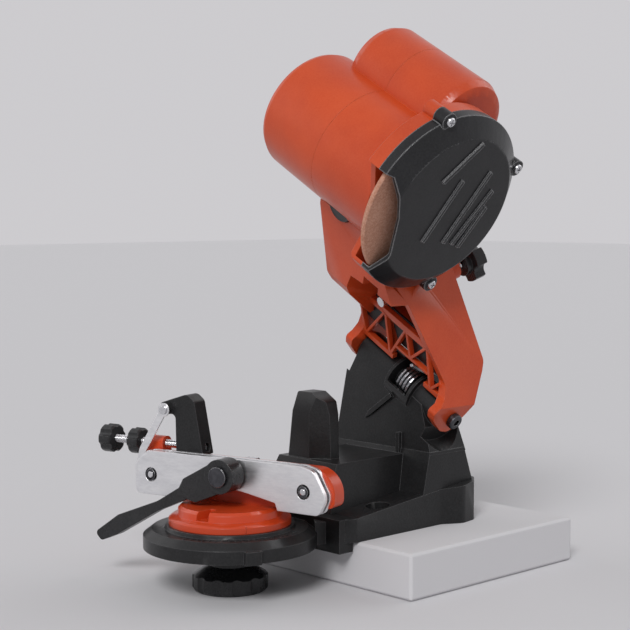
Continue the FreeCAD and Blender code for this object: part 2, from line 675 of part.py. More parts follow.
WASHER_TOP = -PLATFORM_DROP - RUNNING_FIT
KNOB_TOP = WASHER_TOP - STUD_WASHER - SEAT_GAP


def stud_washer():
    return cyl_z(STUD_WASHER_RADIUS, WASHER_TOP - STUD_WASHER, WASHER_TOP).cut(
        cyl_z(STUD / 2 + RUNNING_FIT, WASHER_TOP - STUD_WASHER, WASHER_TOP))


def clamp_knob():
    """Large scalloped knob under the platform."""
    grip_top = KNOB_BOTTOM + KNOB_GRIP
    body = revolve_z([(0, KNOB_BOTTOM), (KNOB_RADIUS - 1.5, KNOB_BOTTOM),
                      (KNOB_RADIUS, KNOB_BOTTOM + 1.5), (KNOB_RADIUS, grip_top),
                      (KNOB_HUB_RADIUS + 3, grip_top + KNOB_SHOULDER),
                      (KNOB_HUB_RADIUS, grip_top + KNOB_SHOULDER + 1), (KNOB_HUB_RADIUS, KNOB_TOP),
                      (0, KNOB_TOP)])
    scallop = cyl_z(6, KNOB_BOTTOM - 1, grip_top + 3, KNOB_RADIUS + 4.8)
    return cut(body, around(scallop, KNOB_SCALLOPS, vec(0, 0, 0), vec(0, 0, 1)) + [
        cyl_z(STUD / 2 + SLIDE_GAP, KNOB_BOTTOM + 2, KNOB_TOP),
        cyl_z(KNOB_INSERT_RADIUS + RUNNING_FIT, KNOB_TOP - KNOB_INSERT_LENGTH - 1, KNOB_TOP)])


def knob_insert():
    """Threaded metal insert in the knob."""
    bottom = KNOB_TOP - KNOB_INSERT_LENGTH - 1
    return cyl_z(KNOB_INSERT_RADIUS, bottom, KNOB_TOP - 1).cut(
        cyl_z(STUD / 2 + RUNNING_FIT, bottom, KNOB_TOP - 1))


# Chain stop ---------------------------------------------------------------------------------


def star_knob(radius, length, middle, notches):
    """Small lobed knob on the stop rod."""
    start = middle - length / 2
    body = Part.makeCylinder(radius, length, vec(start, ROD_DEPTH, ROD_HEIGHT), vec(1, 0, 0))
    body = body.makeChamfer(1, [body.Edges[0], body.Edges[2]])
    notch = rod(radius * 0.3, vec(start, ROD_DEPTH, ROD_HEIGHT + radius * 1.12), vec(1, 0, 0), length)
    return cut(body, around(notch, notches, vec(start, ROD_DEPTH, ROD_HEIGHT), vec(1, 0, 0)))


def stop_rod():
    start = ROD_KNOB_AT - ROD_KNOB_LENGTH / 2 + 2
    body = rod(ROD / 2, vec(start, ROD_DEPTH, ROD_HEIGHT), vec(1, 0, 0), ROD_END - start)
    collar = rod(ROD / 2 + 1.4, vec(LUG_LEFT - SLIDE_GAP - ROD_COLLAR, ROD_DEPTH, ROD_HEIGHT),
                 vec(1, 0, 0), ROD_COLLAR)
    return turn(fuse([body, collar]))


def stop_knob():
    knob = star_knob(ROD_KNOB_RADIUS, ROD_KNOB_LENGTH, ROD_KNOB_AT, 6)
    start = ROD_KNOB_AT - ROD_KNOB_LENGTH / 2 + 2
    bore = rod(ROD / 2 + RUNNING_FIT, vec(start, ROD_DEPTH, ROD_HEIGHT), vec(1, 0, 0),
               ROD_KNOB_LENGTH)
    return turn(knob.cut(bore))


def lock_knob():
    knob = star_knob(LOCK_KNOB_RADIUS, LOCK_KNOB_LENGTH, LOCK_KNOB_AT, 6)
    bore = rod(ROD / 2 + RUNNING_FIT, vec(LOCK_KNOB_AT - LOCK_KNOB_LENGTH, ROD_DEPTH, ROD_HEIGHT),
               vec(1, 0, 0), 2 * LOCK_KNOB_LENGTH)
    return turn(knob.cut(bore))


def stop_carrier():
    """Black arm that rides on the jaw block and carries the pawl."""
    left, foot = CARRIER_LEFT, BLOCK_TOP + SLIDE_GAP
    pin_x, pin_z = PAWL_PIN_X, PAWL_PIN_Z
    outline = [(left, foot), (left + 19.8, foot, 1), (pin_x + 19.9, pin_z + 5.9, 4),
               (pin_x + 14.5, pin_z + 10, 5), (pin_x - 6.7, pin_z + 3.1, 3),
               (pin_x - 3.5, pin_z - 3.4, 2), (pin_x + 6, pin_z - 2.4, 3)]
    back = CARRIER_FRONT + CARRIER_DEPTH
    arm = prism_y(outline, CARRIER_FRONT, back)
    lightening = prism_y([(left + 7, foot + 9, 1.5), (left + 14.5, foot + 9, 1.5),
                          (pin_x + 15, pin_z + 3.5, 2), (pin_x + 10.5, pin_z + 3, 2)],
                         CARRIER_FRONT + 3.5, back)
    holes = [lightening,
             rod(ROD / 2 + RUNNING_FIT, vec(left - 1, ROD_DEPTH, ROD_HEIGHT), vec(1, 0, 0), 30),
             cyl_y(PAWL_PIN / 2 + RUNNING_FIT, pin_x, pin_z, CARRIER_FRONT, CARRIER_FRONT + 8.5)]
    return turn(arm.cut(holes))


PAWL_BACK = REAR_PLATE_FRONT - SLIDE_GAP
PAWL_FRONT = PAWL_BACK - PAWL_THICKNESS


def pawl_pin():
    head = cyl_y(PAWL_PIN / 2 + 1.2, PAWL_PIN_X, PAWL_PIN_Z, PAWL_FRONT - SEAT_GAP - 1,
                 PAWL_FRONT - SEAT_GAP)
    shank = cyl_y(PAWL_PIN / 2, PAWL_PIN_X, PAWL_PIN_Z, PAWL_FRONT - SEAT_GAP, CARRIER_FRONT + 8)
    return turn(fuse([head, shank]))


def chain_pawl():
    """Flat steel finger that the cutter of the chain is held against."""
    eye = PAWL_PIN / 2 + 2.6
    half = PAWL_WIDTH / 2
    length = PAWL_LENGTH
    finger = prism_y([(0, -half), (length - 9, -half, 10), (length, 0.6), (length - 1.2, 1.6),
                      (length - 9, half, 10), (0, half)], PAWL_FRONT, PAWL_BACK)
    disc = cyl_y(eye, 0, 0, PAWL_FRONT, PAWL_BACK)
    hole = cyl_y(PAWL_PIN / 2 + RUNNING_FIT, 0, 0, PAWL_FRONT, PAWL_BACK)
    pawl = fuse([finger, disc]).cut(hole)
    pawl.rotate(vec(0, 0, 0), vec(0, 1, 0), 180 - PAWL_ANGLE)
    pawl.translate(vec(PAWL_PIN_X, 0, PAWL_PIN_Z))
    return turn(pawl)


def pawl_spring():
    """Small coil on the pin between the pawl and its carrier."""
    radius = (PAWL_PIN + PAWL_SPRING_WIRE) / 2 + SEAT_GAP
    room = CARRIER_FRONT - PAWL_BACK - PAWL_SPRING_WIRE - 2 * SEAT_GAP
    shape = bent_wire(coil(radius, room, PAWL_SPRING_TURNS, 12), PAWL_SPRING_WIRE / 2, 6)
    shape.rotate(vec(0, 0, 0), vec(1, 0, 0), -90)
    shape.translate(vec(PAWL_PIN_X, PAWL_BACK + SEAT_GAP + PAWL_SPRING_WIRE / 2, PAWL_PIN_Z))
    return turn(shape)


# Head ---------------------------------------------------------------------------------------

WHEEL_RADIUS = WHEEL_DIAMETER / 2
HALF_WHEEL = WHEEL_THICKNESS / 2
GUARD_INNER = WHEEL_RADIUS + GUARD_GAP
GUARD_OUTER = GUARD_INNER + GUARD_WALL
SCREW_ANGLES = (114, 26, -69)
HOUSING_Y = WHEEL_Y - HOUSING_LEAD
HOUSING_RISE = WHEEL_RISE - HOUSING_DROP
HOUSING_UNDER = HOUSING_RISE - HOUSING_RADIUS
REAR_LOBE_Y = WHEEL_Y + REAR_LOBE_BACK
REAR_LOBE_RISE = WHEEL_RISE + REAR_LOBE_LIFT
GLAND_Y = WHEEL_Y + GLAND_BACK
GLAND_RISE = WHEEL_RISE - GLAND_DROP
BUTTON_TOP = HOUSING_UNDER + BUTTON_LIFT
ARM_TOP = HOUSING_UNDER + NECK_REACH
ARM_BACK_TOP = HOUSING_UNDER + ARM_BACK_REACH
HOLLOW_TOP = HOUSING_UNDER - 1
MOTOR_BORE = STATOR_RADIUS + SEAT_GAP
MOTOR_BORE_END = SHAFT_END - 2
FAN_ROOM_END = FRONT_BEARING_START - 2.5


def lobe(start, end, radius, edge, y, u):
    """Round body along the wheel's axis, its ends broken in two bevels."""
    outline = [(start, 0), (start, radius - edge), (start + edge * 0.3, radius - edge * 0.3),
               (start + edge, radius), (end - edge, radius),
               (end - edge * 0.3, radius - edge * 0.3), (end, radius - edge), (end, 0)]
    face = Part.Face(rounded_wire(outline, lambda p, q: vec(p, y, u + q)))
    return face.revolve(vec(0, y, u), vec(1, 0, 0), 360)


def lobes(start, end):
    """Outside of the housing between two places along the axis: motor lobe and rear lobe."""
    motor = lobe(HOUSING_END, GUARD_BACK + HOUSING_EDGE, HOUSING_RADIUS, HOUSING_EDGE, HOUSING_Y,
                 HOUSING_RISE)
    rear = lobe(REAR_LOBE_START, REAR_LOBE_START + REAR_LOBE_LENGTH, REAR_LOBE_RADIUS,
                REAR_LOBE_EDGE, REAR_LOBE_Y, REAR_LOBE_RISE)
    return motor.fuse(rear).common(box(start, end, WHEEL_Y - 80, WHEEL_Y + 100, WHEEL_RISE - 60,
                                       WHEEL_RISE + 100))


def wedge(shift):
    """Front view of the arm (a, u): broad at the ears, leaning left; shift makes it slimmer."""
    right, left = EAR_RIGHT + EAR_WALL - shift, EAR_LEFT - EAR_WALL + shift
    outline = [(right, 10), (right, FORK_SHOULDER), (GUARD_BACK - shift, HOUSING_UNDER - 3),
               (GUARD_BACK - shift, WHEEL_RISE), (NECK_LEFT + shift, WHEEL_RISE),
               (NECK_LEFT + shift, HOUSING_UNDER), (left, FORK_SHOULDER), (left, 10)]
    return prism_y(outline, 20, 200)


FORK_SIDE = [(123.2, 32.2, 5), (131.8, 30.5, 5), (140.6, 42.5, 4), (155.9, 66.2, 4),
             (158.1, 71.2, 4), (121.9, ARM_BACK_TOP), (68.3, ARM_TOP), (120.3, 61.4, 3), (118.6, 54.5, 3),
             (110.6, 46.1, 3), (112.9, 40.8, 3)]
NECK_SIDE = [(64.6, ARM_TOP), (83.5, 88, 3), (88.4, 83.2, 3), (114, 68), (130, 78),
             (130, ARM_TOP)]
LATTICE_TOP = (104.0, 100.0)
LATTICE_DOWN = (0.3304, -0.9438)


def lattice_point(a, s, lift=0.0):
    """Point on the lattice: a along the axis, s down the web, lift towards the front."""
    y = LATTICE_TOP[0] + LATTICE_DOWN[0] * s + LATTICE_DOWN[1] * lift
    u = LATTICE_TOP[1] + LATTICE_DOWN[1] * s - LATTICE_DOWN[0] * lift
    return vec(a, y, u)


def lattice_bar(a0, s0, a1, s1, width):
    """Straight bar of the lattice between two nodes."""
    length = math.hypot(a1 - a0, s1 - s0)
    across_a = -(s1 - s0) / length * width / 2
    across_s = (a1 - a0) / length * width / 2
    corners = [(a0 + across_a, s0 + across_s), (a1 + across_a, s1 + across_s),
               (a1 - across_a, s1 - across_s), (a0 - across_a, s0 - across_s)]
    points = [lattice_point(a, s, -LATTICE / 2) for a, s in corners]
    face = Part.Face(Part.makePolygon(points + points[:1]))
    return face.extrude(lattice_point(0, 0, LATTICE / 2) - lattice_point(0, 0, -LATTICE / 2))


def lattice():
    """Ribbed web between the fork's walls: two rails with zig-zag ribs."""
    top, bottom = LATTICE_TOP_RAIL, LATTICE_LOW_RAIL
    zigzag = [(-50, top), (-36.6, bottom), (-22, top), (-12, bottom), (-1.4, top),
              (6, LATTICE_ARCH), (18.5, top), (27, bottom), (36, 37)]
    bars = [lattice_bar(*zigzag[i], *zigzag[i + 1], LATTICE_BAR) for i in range(len(zigzag) - 1)]
    bars.append(lattice_bar(-70, top, 50, top, 4.5))
    bars.append(lattice_bar(-60, bottom, DRUM_START - 4, bottom, 3.2))
    bars.append(lattice_bar(DRUM_START + DRUM_LENGTH + 4, bottom, 50, bottom, 3.2))
    bars.append(lattice_bar(-8, LATTICE_ARCH, 23, LATTICE_ARCH, LATTICE_BAR))
    return fuse(bars).common(wedge(EAR_WALL - 1))


def head_frame():
    """Orange arm: ears, fork with its lattice, and the neck that carries the housing."""
    fork = prism_x(FORK_SIDE, -90, 60).common(wedge(0))
    fork_hollow = prism_x([(104, 15), (175, 15), (175, 58), (144.7, 58), (152.4, 70.5),
                           (126.5, HOLLOW_TOP), (74, HOLLOW_TOP), (118, 61.4), (108, 46)],
                          -90, 60)
    fork_hollow = fork_hollow.common(wedge(EAR_WALL))
    neck = prism_x(NECK_SIDE, -90, 60).common(wedge(0))
    low_right = prism_y([(-36, 40), (60, 40), (60, 101), (-14, 101), (-33.5, 98.5), (-36, 90)],
                        20, PIVOT_Y + 10)
    wall = ARM_WALL - 1
    neck_hollow = prism_x([(68.6 + wall, HOLLOW_TOP), (87.9, 90.5), (91.5, 87), (114, 72.8),
                           (128, 80), (128, HOLLOW_TOP)], -90, 60)
    room = prism_y([(-80, 60), (-36 - wall, 60), (-36 - wall, 92), (-36, 98.5 + wall),
                    (GUARD_BACK - wall, 101 + wall), (GUARD_BACK - wall, HOLLOW_TOP),
                    (-80, HOLLOW_TOP)],
                   20, 200)
    neck_hollow = neck_hollow.common(wedge(ARM_WALL)).common(room)
    arm = fork.cut(fork_hollow).fuse(neck.cut(low_right).cut(neck_hollow))
    low_lug = screw_centre(SCREW_ANGLES[2])
    arm = arm.cut([neck_hollow, stop_slot(),
                   cyl_a(HOUSING_RADIUS + SLIDE_GAP, HOUSING_END, HOUSING_SEAM, HOUSING_Y,
                         HOUSING_RISE),
                   cyl_a(GUARD_OUTER + SLIDE_GAP, GUARD_BACK, 60),
                   cyl_a(GUARD_BOSS_RADIUS + SLIDE_GAP, GUARD_BACK, 60, *low_lug)])
    boss = stop_cylinder(STOP_BOSS_RADIUS, STOP_BOSS_START, STOP_BOSS_START + STOP_BOSS_LENGTH)
    body = fuse([arm, lattice(), boss])
    holes = [lobes(HOUSING_SEAM, GUARD_BACK),
             cyl_a(HINGE_BOLT / 2 + RUNNING_FIT, -60, 60, PIVOT_Y, PIVOT_RISE),
             stop_cylinder(STOP_TIP_RADIUS + 0.6, -10, STOP_BOSS_START),
             stop_cylinder(STOP_SCREW / 2 + RUNNING_FIT, STOP_BOSS_START, STOP_SCREW_LENGTH),
             button_prism(BUTTON_RADIUS + COVER_GAP, BUTTON_TOP + COVER_GAP, 55, 90)]
    return cut(body, holes)


def fork_panel(arm):
    """Thin black panel that closes the fork behind its lattice."""
    near = -LATTICE / 2 - SEAT_GAP
    top, bottom = LATTICE_TOP_RAIL - 3, LATTICE_ARCH - 1
    corners = [lattice_point(a, s, near) for a, s in ((-90, top), (60, top), (60, bottom),
                                                      (-90, bottom))]
    face = Part.Face(Part.makePolygon(corners + corners[:1]))
    plate = face.extrude(lattice_point(0, 0, -PANEL) - lattice_point(0, 0, 0))
    return largest(plate.common(wedge(EAR_WALL)).cut(arm))


def housing_front():
    """Front half of the motor housing, with the room for the motor and its front bearing."""
    holes = [cyl_a(MOTOR_BORE, HOUSING_SEAM, FAN_ROOM_END),
             cyl_a(FRONT_BEARING_RADIUS + RUNNING_FIT, FRONT_BEARING_START,
                   FRONT_BEARING_START + FRONT_BEARING_WIDTH),
             cyl_a(SHAFT / 2 + 2.5, FAN_ROOM_END, GUARD_BACK),
             button_prism(BUTTON_RADIUS + COVER_GAP, BUTTON_TOP + COVER_GAP, 55, 90)]
    return tilt(cut(lobes(HOUSING_SEAM, GUARD_BACK), holes))


def stop_direction():
    slope = math.radians(STOP_SLOPE)
    return vec(0, math.cos(slope), math.sin(slope))


def stop_cylinder(radius, start, end):
    """Cylinder on the depth stop's axis, by distances from its tip."""
    tip = vec(STOP_A, STOP_TIP_Y, STOP_TIP_RISE)
    return rod(radius, tip + stop_direction() * start, stop_direction(), end - start)


def stop_slot():
    """Open front of the arm over the bright end of the depth stop."""
    along, tip = stop_direction(), vec(0, STOP_TIP_Y, STOP_TIP_RISE)
    across = vec(0, -along.z, along.y)
    points = [tip + along * reach + across * height
              for reach, height in ((-14, -4.5), (14, -4.5), (14, 20), (-14, 20))]
    return prism_x([(point.y, point.z) for point in points], STOP_A - STOP_SLOT / 2,
                   STOP_A + STOP_SLOT / 2)


def depth_tip():
    """Bright end piece that lands on the post; it doesn't turn with the screw."""
    tip = stop_cylinder(STOP_TIP_RADIUS, 0, STOP_TIP_LENGTH)
    tip = tip.makeChamfer(0.8, [tip.Edges[0]])
    return tilt(tip.cut(stop_cylinder(STOP_SCREW / 4 + RUNNING_FIT, 2, STOP_TIP_LENGTH)))


def depth_screw():
    spigot = stop_cylinder(STOP_SCREW / 4, 2 + SEAT_GAP, STOP_TIP_LENGTH + SEAT_GAP)
    shank = stop_cylinder(STOP_SCREW / 2, STOP_TIP_LENGTH + SEAT_GAP, STOP_SCREW_LENGTH - 3)
    return tilt(fuse([spigot, shank]))


def depth_knob():
    """Winged knob at the back end of the depth stop."""
    start, end = STOP_SCREW_LENGTH - STOP_KNOB_LENGTH, STOP_SCREW_LENGTH
    hub = stop_cylinder(STOP_KNOB_RADIUS * 0.6, start, end)
    disc = stop_cylinder(STOP_KNOB_RADIUS, start + 4, end - 2)
    notch = rod(5.2, vec(STOP_A, STOP_TIP_Y, STOP_TIP_RISE) + stop_direction() * start
                + vec(STOP_KNOB_RADIUS + 1.6, 0, 0), stop_direction(), STOP_KNOB_LENGTH)
    tip = vec(STOP_A, STOP_TIP_Y, STOP_TIP_RISE)
    knob = fuse([hub, disc]).cut(around(notch, 4, tip, stop_direction()))
    return tilt(knob.cut(stop_cylinder(STOP_SCREW / 2 + RUNNING_FIT, start, end - 3)))


def button_prism(radius, top, start, end):
    """Half-moon under the housing, drawn out along Y."""
    middle = BUTTON_TOP - BUTTON_SAGITTA + BUTTON_RADIUS
    disc = rod(radius, vec(BUTTON_A, start, middle), vec(0, 1, 0), end - start)
    return disc.common(box(BUTTON_A - 30, BUTTON_A + 30, start, end, BUTTON_TOP - 30, top))


def power_button():
    (low_y, low_u), (high_y, high_u) = NECK_SIDE[1][:2], NECK_SIDE[0][:2]
    lean = (high_y - low_y) / (high_u - low_u)
    face = [(low_y + (u - low_u) * lean - BUTTON_PROUD, u)
            for u in (BUTTON_TOP - 36, BUTTON_TOP + 14)]
    slab = prism_x([face[0], face[1], (face[1][0] + BUTTON_DEPTH, face[1][1]),
                    (face[0][0] + BUTTON_DEPTH, face[0][1])], BUTTON_A - 30, BUTTON_A + 30)
    return tilt(button_prism(BUTTON_RADIUS, BUTTON_TOP, 40, 100).common(slab))


def end_cap():
    """Rear half of the motor housing, from the seam backwards."""
    cap = lobes(HOUSING_END - 1, HOUSING_SEAM)
    seat = SHAFT_END + REAR_BEARING_WIDTH
    bore = cyl_a(MOTOR_BORE, MOTOR_BORE_END, HOUSING_SEAM)
    bore = bore.cut(cyl_a(REAR_BEARING_RADIUS + 4, MOTOR_BORE_END, seat))
    holes = [bore, cyl_a(REAR_BEARING_RADIUS + RUNNING_FIT, SHAFT_END, seat),
             cyl_a(GLAND_RADIUS + RUNNING_FIT, HOUSING_END - 1, MOTOR_BORE_END, GLAND_Y,
                   GLAND_RISE)]
    return tilt(cut(cap, holes))


def cord_gland():
    """Rubber sleeve for the mains lead, in the end of the housing."""
    at, outer = (GLAND_Y, GLAND_RISE), HOUSING_END - GLAND_PROUD
    body = fuse([cyl_a(GLAND_RADIUS, outer, MOTOR_BORE_END, *at),
                 cyl_a(GLAND_RADIUS + 2, outer, HOUSING_END - RUNNING_FIT, *at)])
    return tilt(body.cut(cyl_a(GLAND_BORE, outer, MOTOR_BORE_END, *at)))


def guard_opening(start, end):
    """Room at the front where the wheel stands out of its guard."""
    outline = [(-94, 21), (-50, 18), (-39, -5), (-33.5, -28), (-36, -44), (-31, -54), (-31, -75),
               (-94, -75)]
    return prism_x([(WHEEL_Y + y, WHEEL_RISE + u) for y, u in outline], start, end)


def screw_centre(angle):
    reach = GUARD_OUTER + 0.8
    return (WHEEL_Y + reach * math.cos(math.radians(angle)),
            WHEEL_RISE + reach * math.sin(math.radians(angle)))


def guard_back():
    """Orange back half of the wheel guard."""
    shell = revolve_a([(GUARD_BACK, 0), (GUARD_BACK, GUARD_OUTER - 2), (GUARD_BACK + 2,
                       GUARD_OUTER), (GUARD_SPLIT, GUARD_OUTER), (GUARD_SPLIT, GUARD_INNER),
                       (GUARD_BACK + 4, GUARD_INNER), (GUARD_BACK + 4, 0)])
    lugs = [cyl_a(GUARD_BOSS_RADIUS, GUARD_BACK + 2, GUARD_SPLIT, *screw_centre(angle))
            for angle in SCREW_ANGLES]
    body = fuse([shell] + lugs)
    holes = [cyl_a(GUARD_INNER, GUARD_BACK + 4, GUARD_SPLIT), guard_opening(-20, 20),
             cyl_a(FLANGE_RADIUS + 1.5, GUARD_BACK, GUARD_SPLIT)]
    holes += [cyl_a(GUARD_SCREW / 2 + RUNNING_FIT, GUARD_BACK + 5, GUARD_SPLIT,
                    *screw_centre(angle)) for angle in SCREW_ANGLES]
    return tilt(cut(body, holes))


COVER_BOSS_END = COVER_SKIRT_END + 2


def guard_cover():
    """Black cover of the wheel, bevelled, with raised ribs across its face."""
    face, wall = COVER_FACE, GUARD_WALL
    rim = GUARD_OUTER - COVER_FACE_INSET
    shell = revolve_a([(GUARD_SPLIT, GUARD_INNER), (GUARD_SPLIT, GUARD_OUTER),
                       (COVER_SKIRT_END, GUARD_OUTER), (face, rim, 2), (face, 0), (face - wall, 0),
                       (face - wall, rim - 1.5, 2), (COVER_SKIRT_END - 1, GUARD_INNER)])
    bosses = []
    for angle in SCREW_ANGLES:
        bosses.append(cyl_a(GUARD_BOSS_RADIUS, GUARD_SPLIT, COVER_BOSS_END, *screw_centre(angle)))
    ribs = [face_rib(start, end, face) for start, end in (
        ((-16, 18.5), (3.6, 43.8)), ((6, -21), (21, 26)), ((14, -22), (29.5, 14)),
        ((20.5, -24), (30, 3)), ((-12, -20), (0, 20)))]
    inner = fuse([cyl_a(GUARD_INNER, GUARD_SPLIT, COVER_SKIRT_END - 1),
                  cyl_a(rim - 1.5, COVER_SKIRT_END - 1, face - wall)])
    body = fuse([shell] + bosses + ribs)
    holes = [inner, guard_opening(-20, 30)]
    holes += [cyl_a(GUARD_SCREW / 2 + SEAT_GAP, GUARD_SPLIT, COVER_BOSS_END, *screw_centre(angle))
              for angle in SCREW_ANGLES]
    return tilt(cut(body, holes))


def face_rib(start, end, face):
    """Raised rib on the cover's face between two points (y, u) from the wheel's axis."""
    start, end = [(WHEEL_Y + y, WHEEL_RISE + u) for y, u in (start, end)]
    dy, du = end[0] - start[0], end[1] - start[1]
    length = math.hypot(dy, du)
    across = (-du / length * COVER_RIB, dy / length * COVER_RIB)
    return prism_x([(start[0] + across[0], start[1] + across[1]),
                    (start[0] - across[0], start[1] - across[1]),
                    (end[0] - across[0], end[1] - across[1]),
                    (end[0] + across[0], end[1] + across[1])], face - 1, face + COVER_RIB)


def guard_screw(angle):
    at = screw_centre(angle)
    seat = COVER_BOSS_END + RUNNING_FIT
    head = cyl_a(GUARD_SCREW_HEAD / 2, seat, seat + 2, *at)
    head = head.makeChamfer(0.6, [head.Edges[0]])
    shank = cyl_a(GUARD_SCREW / 2, GUARD_BACK + 6, seat, *at)
    return tilt(fuse([head, shank]))


def motor_parts():
    """Motor pieces that stay with the housing, by node name."""
    pieces = {}
    teeth = ring_a(STATOR_RADIUS, STATOR_BORE, STATOR_START, STATOR_START + STATOR_LENGTH)
    slots = [cyl_a(4, STATOR_START, STATOR_START + STATOR_LENGTH, WHEEL_Y
                   + 24 * math.cos(math.radians(a)), WHEEL_RISE + 24 * math.sin(math.radians(a)))
             for a in (45, 135, 225, 315)]
    pieces["stator"] = teeth.cut(slots)
    for name, start, radius, width in (
            ("rear_bearing", SHAFT_END, REAR_BEARING_RADIUS, REAR_BEARING_WIDTH),
            ("front_bearing", FRONT_BEARING_START, FRONT_BEARING_RADIUS, FRONT_BEARING_WIDTH)):
        pieces[name] = ring_a(radius, SHAFT / 2 + RUNNING_FIT, start, start + width)
    middle = COMMUTATOR_START + COMMUTATOR_LENGTH / 2
    for name, side in (("upper_brush", 1), ("lower_brush", -1)):
        near, far = COMMUTATOR_RADIUS + SEAT_GAP, MOTOR_BORE - SEAT_GAP
        holder = rod(3.5, vec(middle, WHEEL_Y, WHEEL_RISE + side * (near + 4)),
                     vec(0, 0, side), far - near - 4.4)
        brush = rod(2.5, vec(middle, WHEEL_Y, WHEEL_RISE + side * near), vec(0, 0, side), 6)
        pieces[name] = fuse([holder, brush])
    return {name: tilt(shape) for name, shape in pieces.items()}


def spindle_parts():
    """Everything that turns with the wheel, by node name."""
    pieces = {"motor_shaft": cyl_a(SHAFT / 2, SHAFT_END + 0.5, SHAFT_NOSE)}
    bore = SHAFT / 2 + RUNNING_FIT
    core = ring_a(ROTOR_RADIUS, bore, ROTOR_START, ROTOR_START + ROTOR_LENGTH)
    slot = box(ROTOR_START, ROTOR_START + ROTOR_LENGTH, WHEEL_Y - 1, WHEEL_Y + 1,
               WHEEL_RISE + ROTOR_RADIUS - 4, WHEEL_RISE + ROTOR_RADIUS + 1)
    pieces["rotor"] = core.cut(around(slot, 12, vec(0, WHEEL_Y, WHEEL_RISE), vec(1, 0, 0)))
    pieces["commutator"] = ring_a(COMMUTATOR_RADIUS, bore, COMMUTATOR_START,
                                  COMMUTATOR_START + COMMUTATOR_LENGTH)
    hub = ring_a(9, bore, FAN_START, FAN_START + FAN_LENGTH)
    plate = ring_a(FAN_RADIUS, 8, FAN_START, FAN_START + 1.6)
    blade = box(FAN_START + 1, FAN_START + FAN_LENGTH, WHEEL_Y - 0.7, WHEEL_Y + 0.7,
                WHEEL_RISE + 8.5, WHEEL_RISE + FAN_RADIUS - 0.5)
    pieces["fan"] = fuse([hub, plate] + around(blade, FAN_BLADES, vec(0, WHEEL_Y, WHEEL_RISE),
                                               vec(1, 0, 0)))
    spigot = WHEEL_BORE / 2 - RUNNING_FIT
    inner = fuse([cyl_a(FLANGE_RADIUS, -HALF_WHEEL - INNER_FLANGE, -HALF_WHEEL),
                  cyl_a(spigot, -HALF_WHEEL, HALF_WHEEL - SLIDE_GAP)])
    pieces["inner_flange"] = inner.cut(cyl_a(bore, -HALF_WHEEL - INNER_FLANGE, HALF_WHEEL))
    wheel = ring_a(WHEEL_RADIUS, WHEEL_BORE / 2, -HALF_WHEEL, HALF_WHEEL)
    rims = [e for e in wheel.Edges if abs(e.BoundBox.ZLength - WHEEL_DIAMETER) < 0.01]
    pieces["grinding_wheel"] = wheel.makeChamfer(HALF_WHEEL * 0.4, rims)
    flange_end = HALF_WHEEL + OUTER_FLANGE
    pieces["outer_flange"] = ring_a(FLANGE_RADIUS, bore, HALF_WHEEL, flange_end)
    nut_end = flange_end + SPINDLE_NUT
    pieces["spindle_nut"] = hexagon_a(SPINDLE_NUT_FLATS, flange_end, nut_end, WHEEL_Y,
                                      WHEEL_RISE).cut(cyl_a(bore, flange_end, nut_end))
    return {name: tilt(shape) for name, shape in pieces.items()}


def build():
    os.makedirs("parts", exist_ok=True)
    bolt, nut, washers = hinge_parts()
    foot, upright = base_parts()
    arm = head_frame()
    nodes = {
        "base_frame": foot, "base_tower": upright, "hinge_bolt": tilt(bolt),
        "hinge_nut": tilt(nut),
        "hinge_washer_right": tilt(washers[0]), "hinge_washer_left": tilt(washers[1]),
        "return_spring": return_spring(),
        "vise_body": vise_body(), "draw_bolt": draw_bolt(), "draw_nut": draw_nut(),
        "rear_plate": chain_plate(REAR_PLATE_FRONT, BLOCK_FRONT, RUNNING_FIT),
        "front_plate": chain_plate(FRONT_PLATE_FRONT, FRONT_PLATE_BACK, PLATE_HOLE_GAP),
        "guide_pin_left": guide_pin(guide_pin_places()[0]),
        "guide_pin_right": guide_pin(guide_pin_places()[1]),
        "clamp_lever": clamp_lever(), "vise_stud": vise_stud(), "stud_washer": stud_washer(),
        "clamp_knob": clamp_knob(), "knob_insert": knob_insert(),
        "stop_rod": stop_rod(), "stop_knob": stop_knob(), "lock_knob": lock_knob(),
        "stop_carrier": stop_carrier(), "pawl_pin": pawl_pin(), "pawl_spring": pawl_spring(),
        "chain_pawl": chain_pawl(),
        "head_frame": tilt(arm), "fork_panel": tilt(fork_panel(arm)),
        "housing_front": housing_front(), "end_cap": end_cap(), "cord_gland": cord_gland(),
        "guard_back": guard_back(), "guard_cover": guard_cover(),
        "power_button": power_button(), "depth_tip": depth_tip(), "depth_screw": depth_screw(),
        "depth_knob": depth_knob(),
    }
    for place, angle in zip(("top", "right", "bottom"), SCREW_ANGLES):
        nodes["guard_screw_" + place] = guard_screw(angle)
    nodes.update(motor_parts())
    nodes.update(spindle_parts())
    for name, shape in nodes.items():
        save(name, shape)


build()
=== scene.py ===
"""Finishes, added detail, light and camera for the electric chainsaw sharpener."""

import logging
import math
from dataclasses import dataclass
from enum import Enum
from typing import Callable, Sequence

import bmesh
import bpy
from mathutils import Matrix, Vector

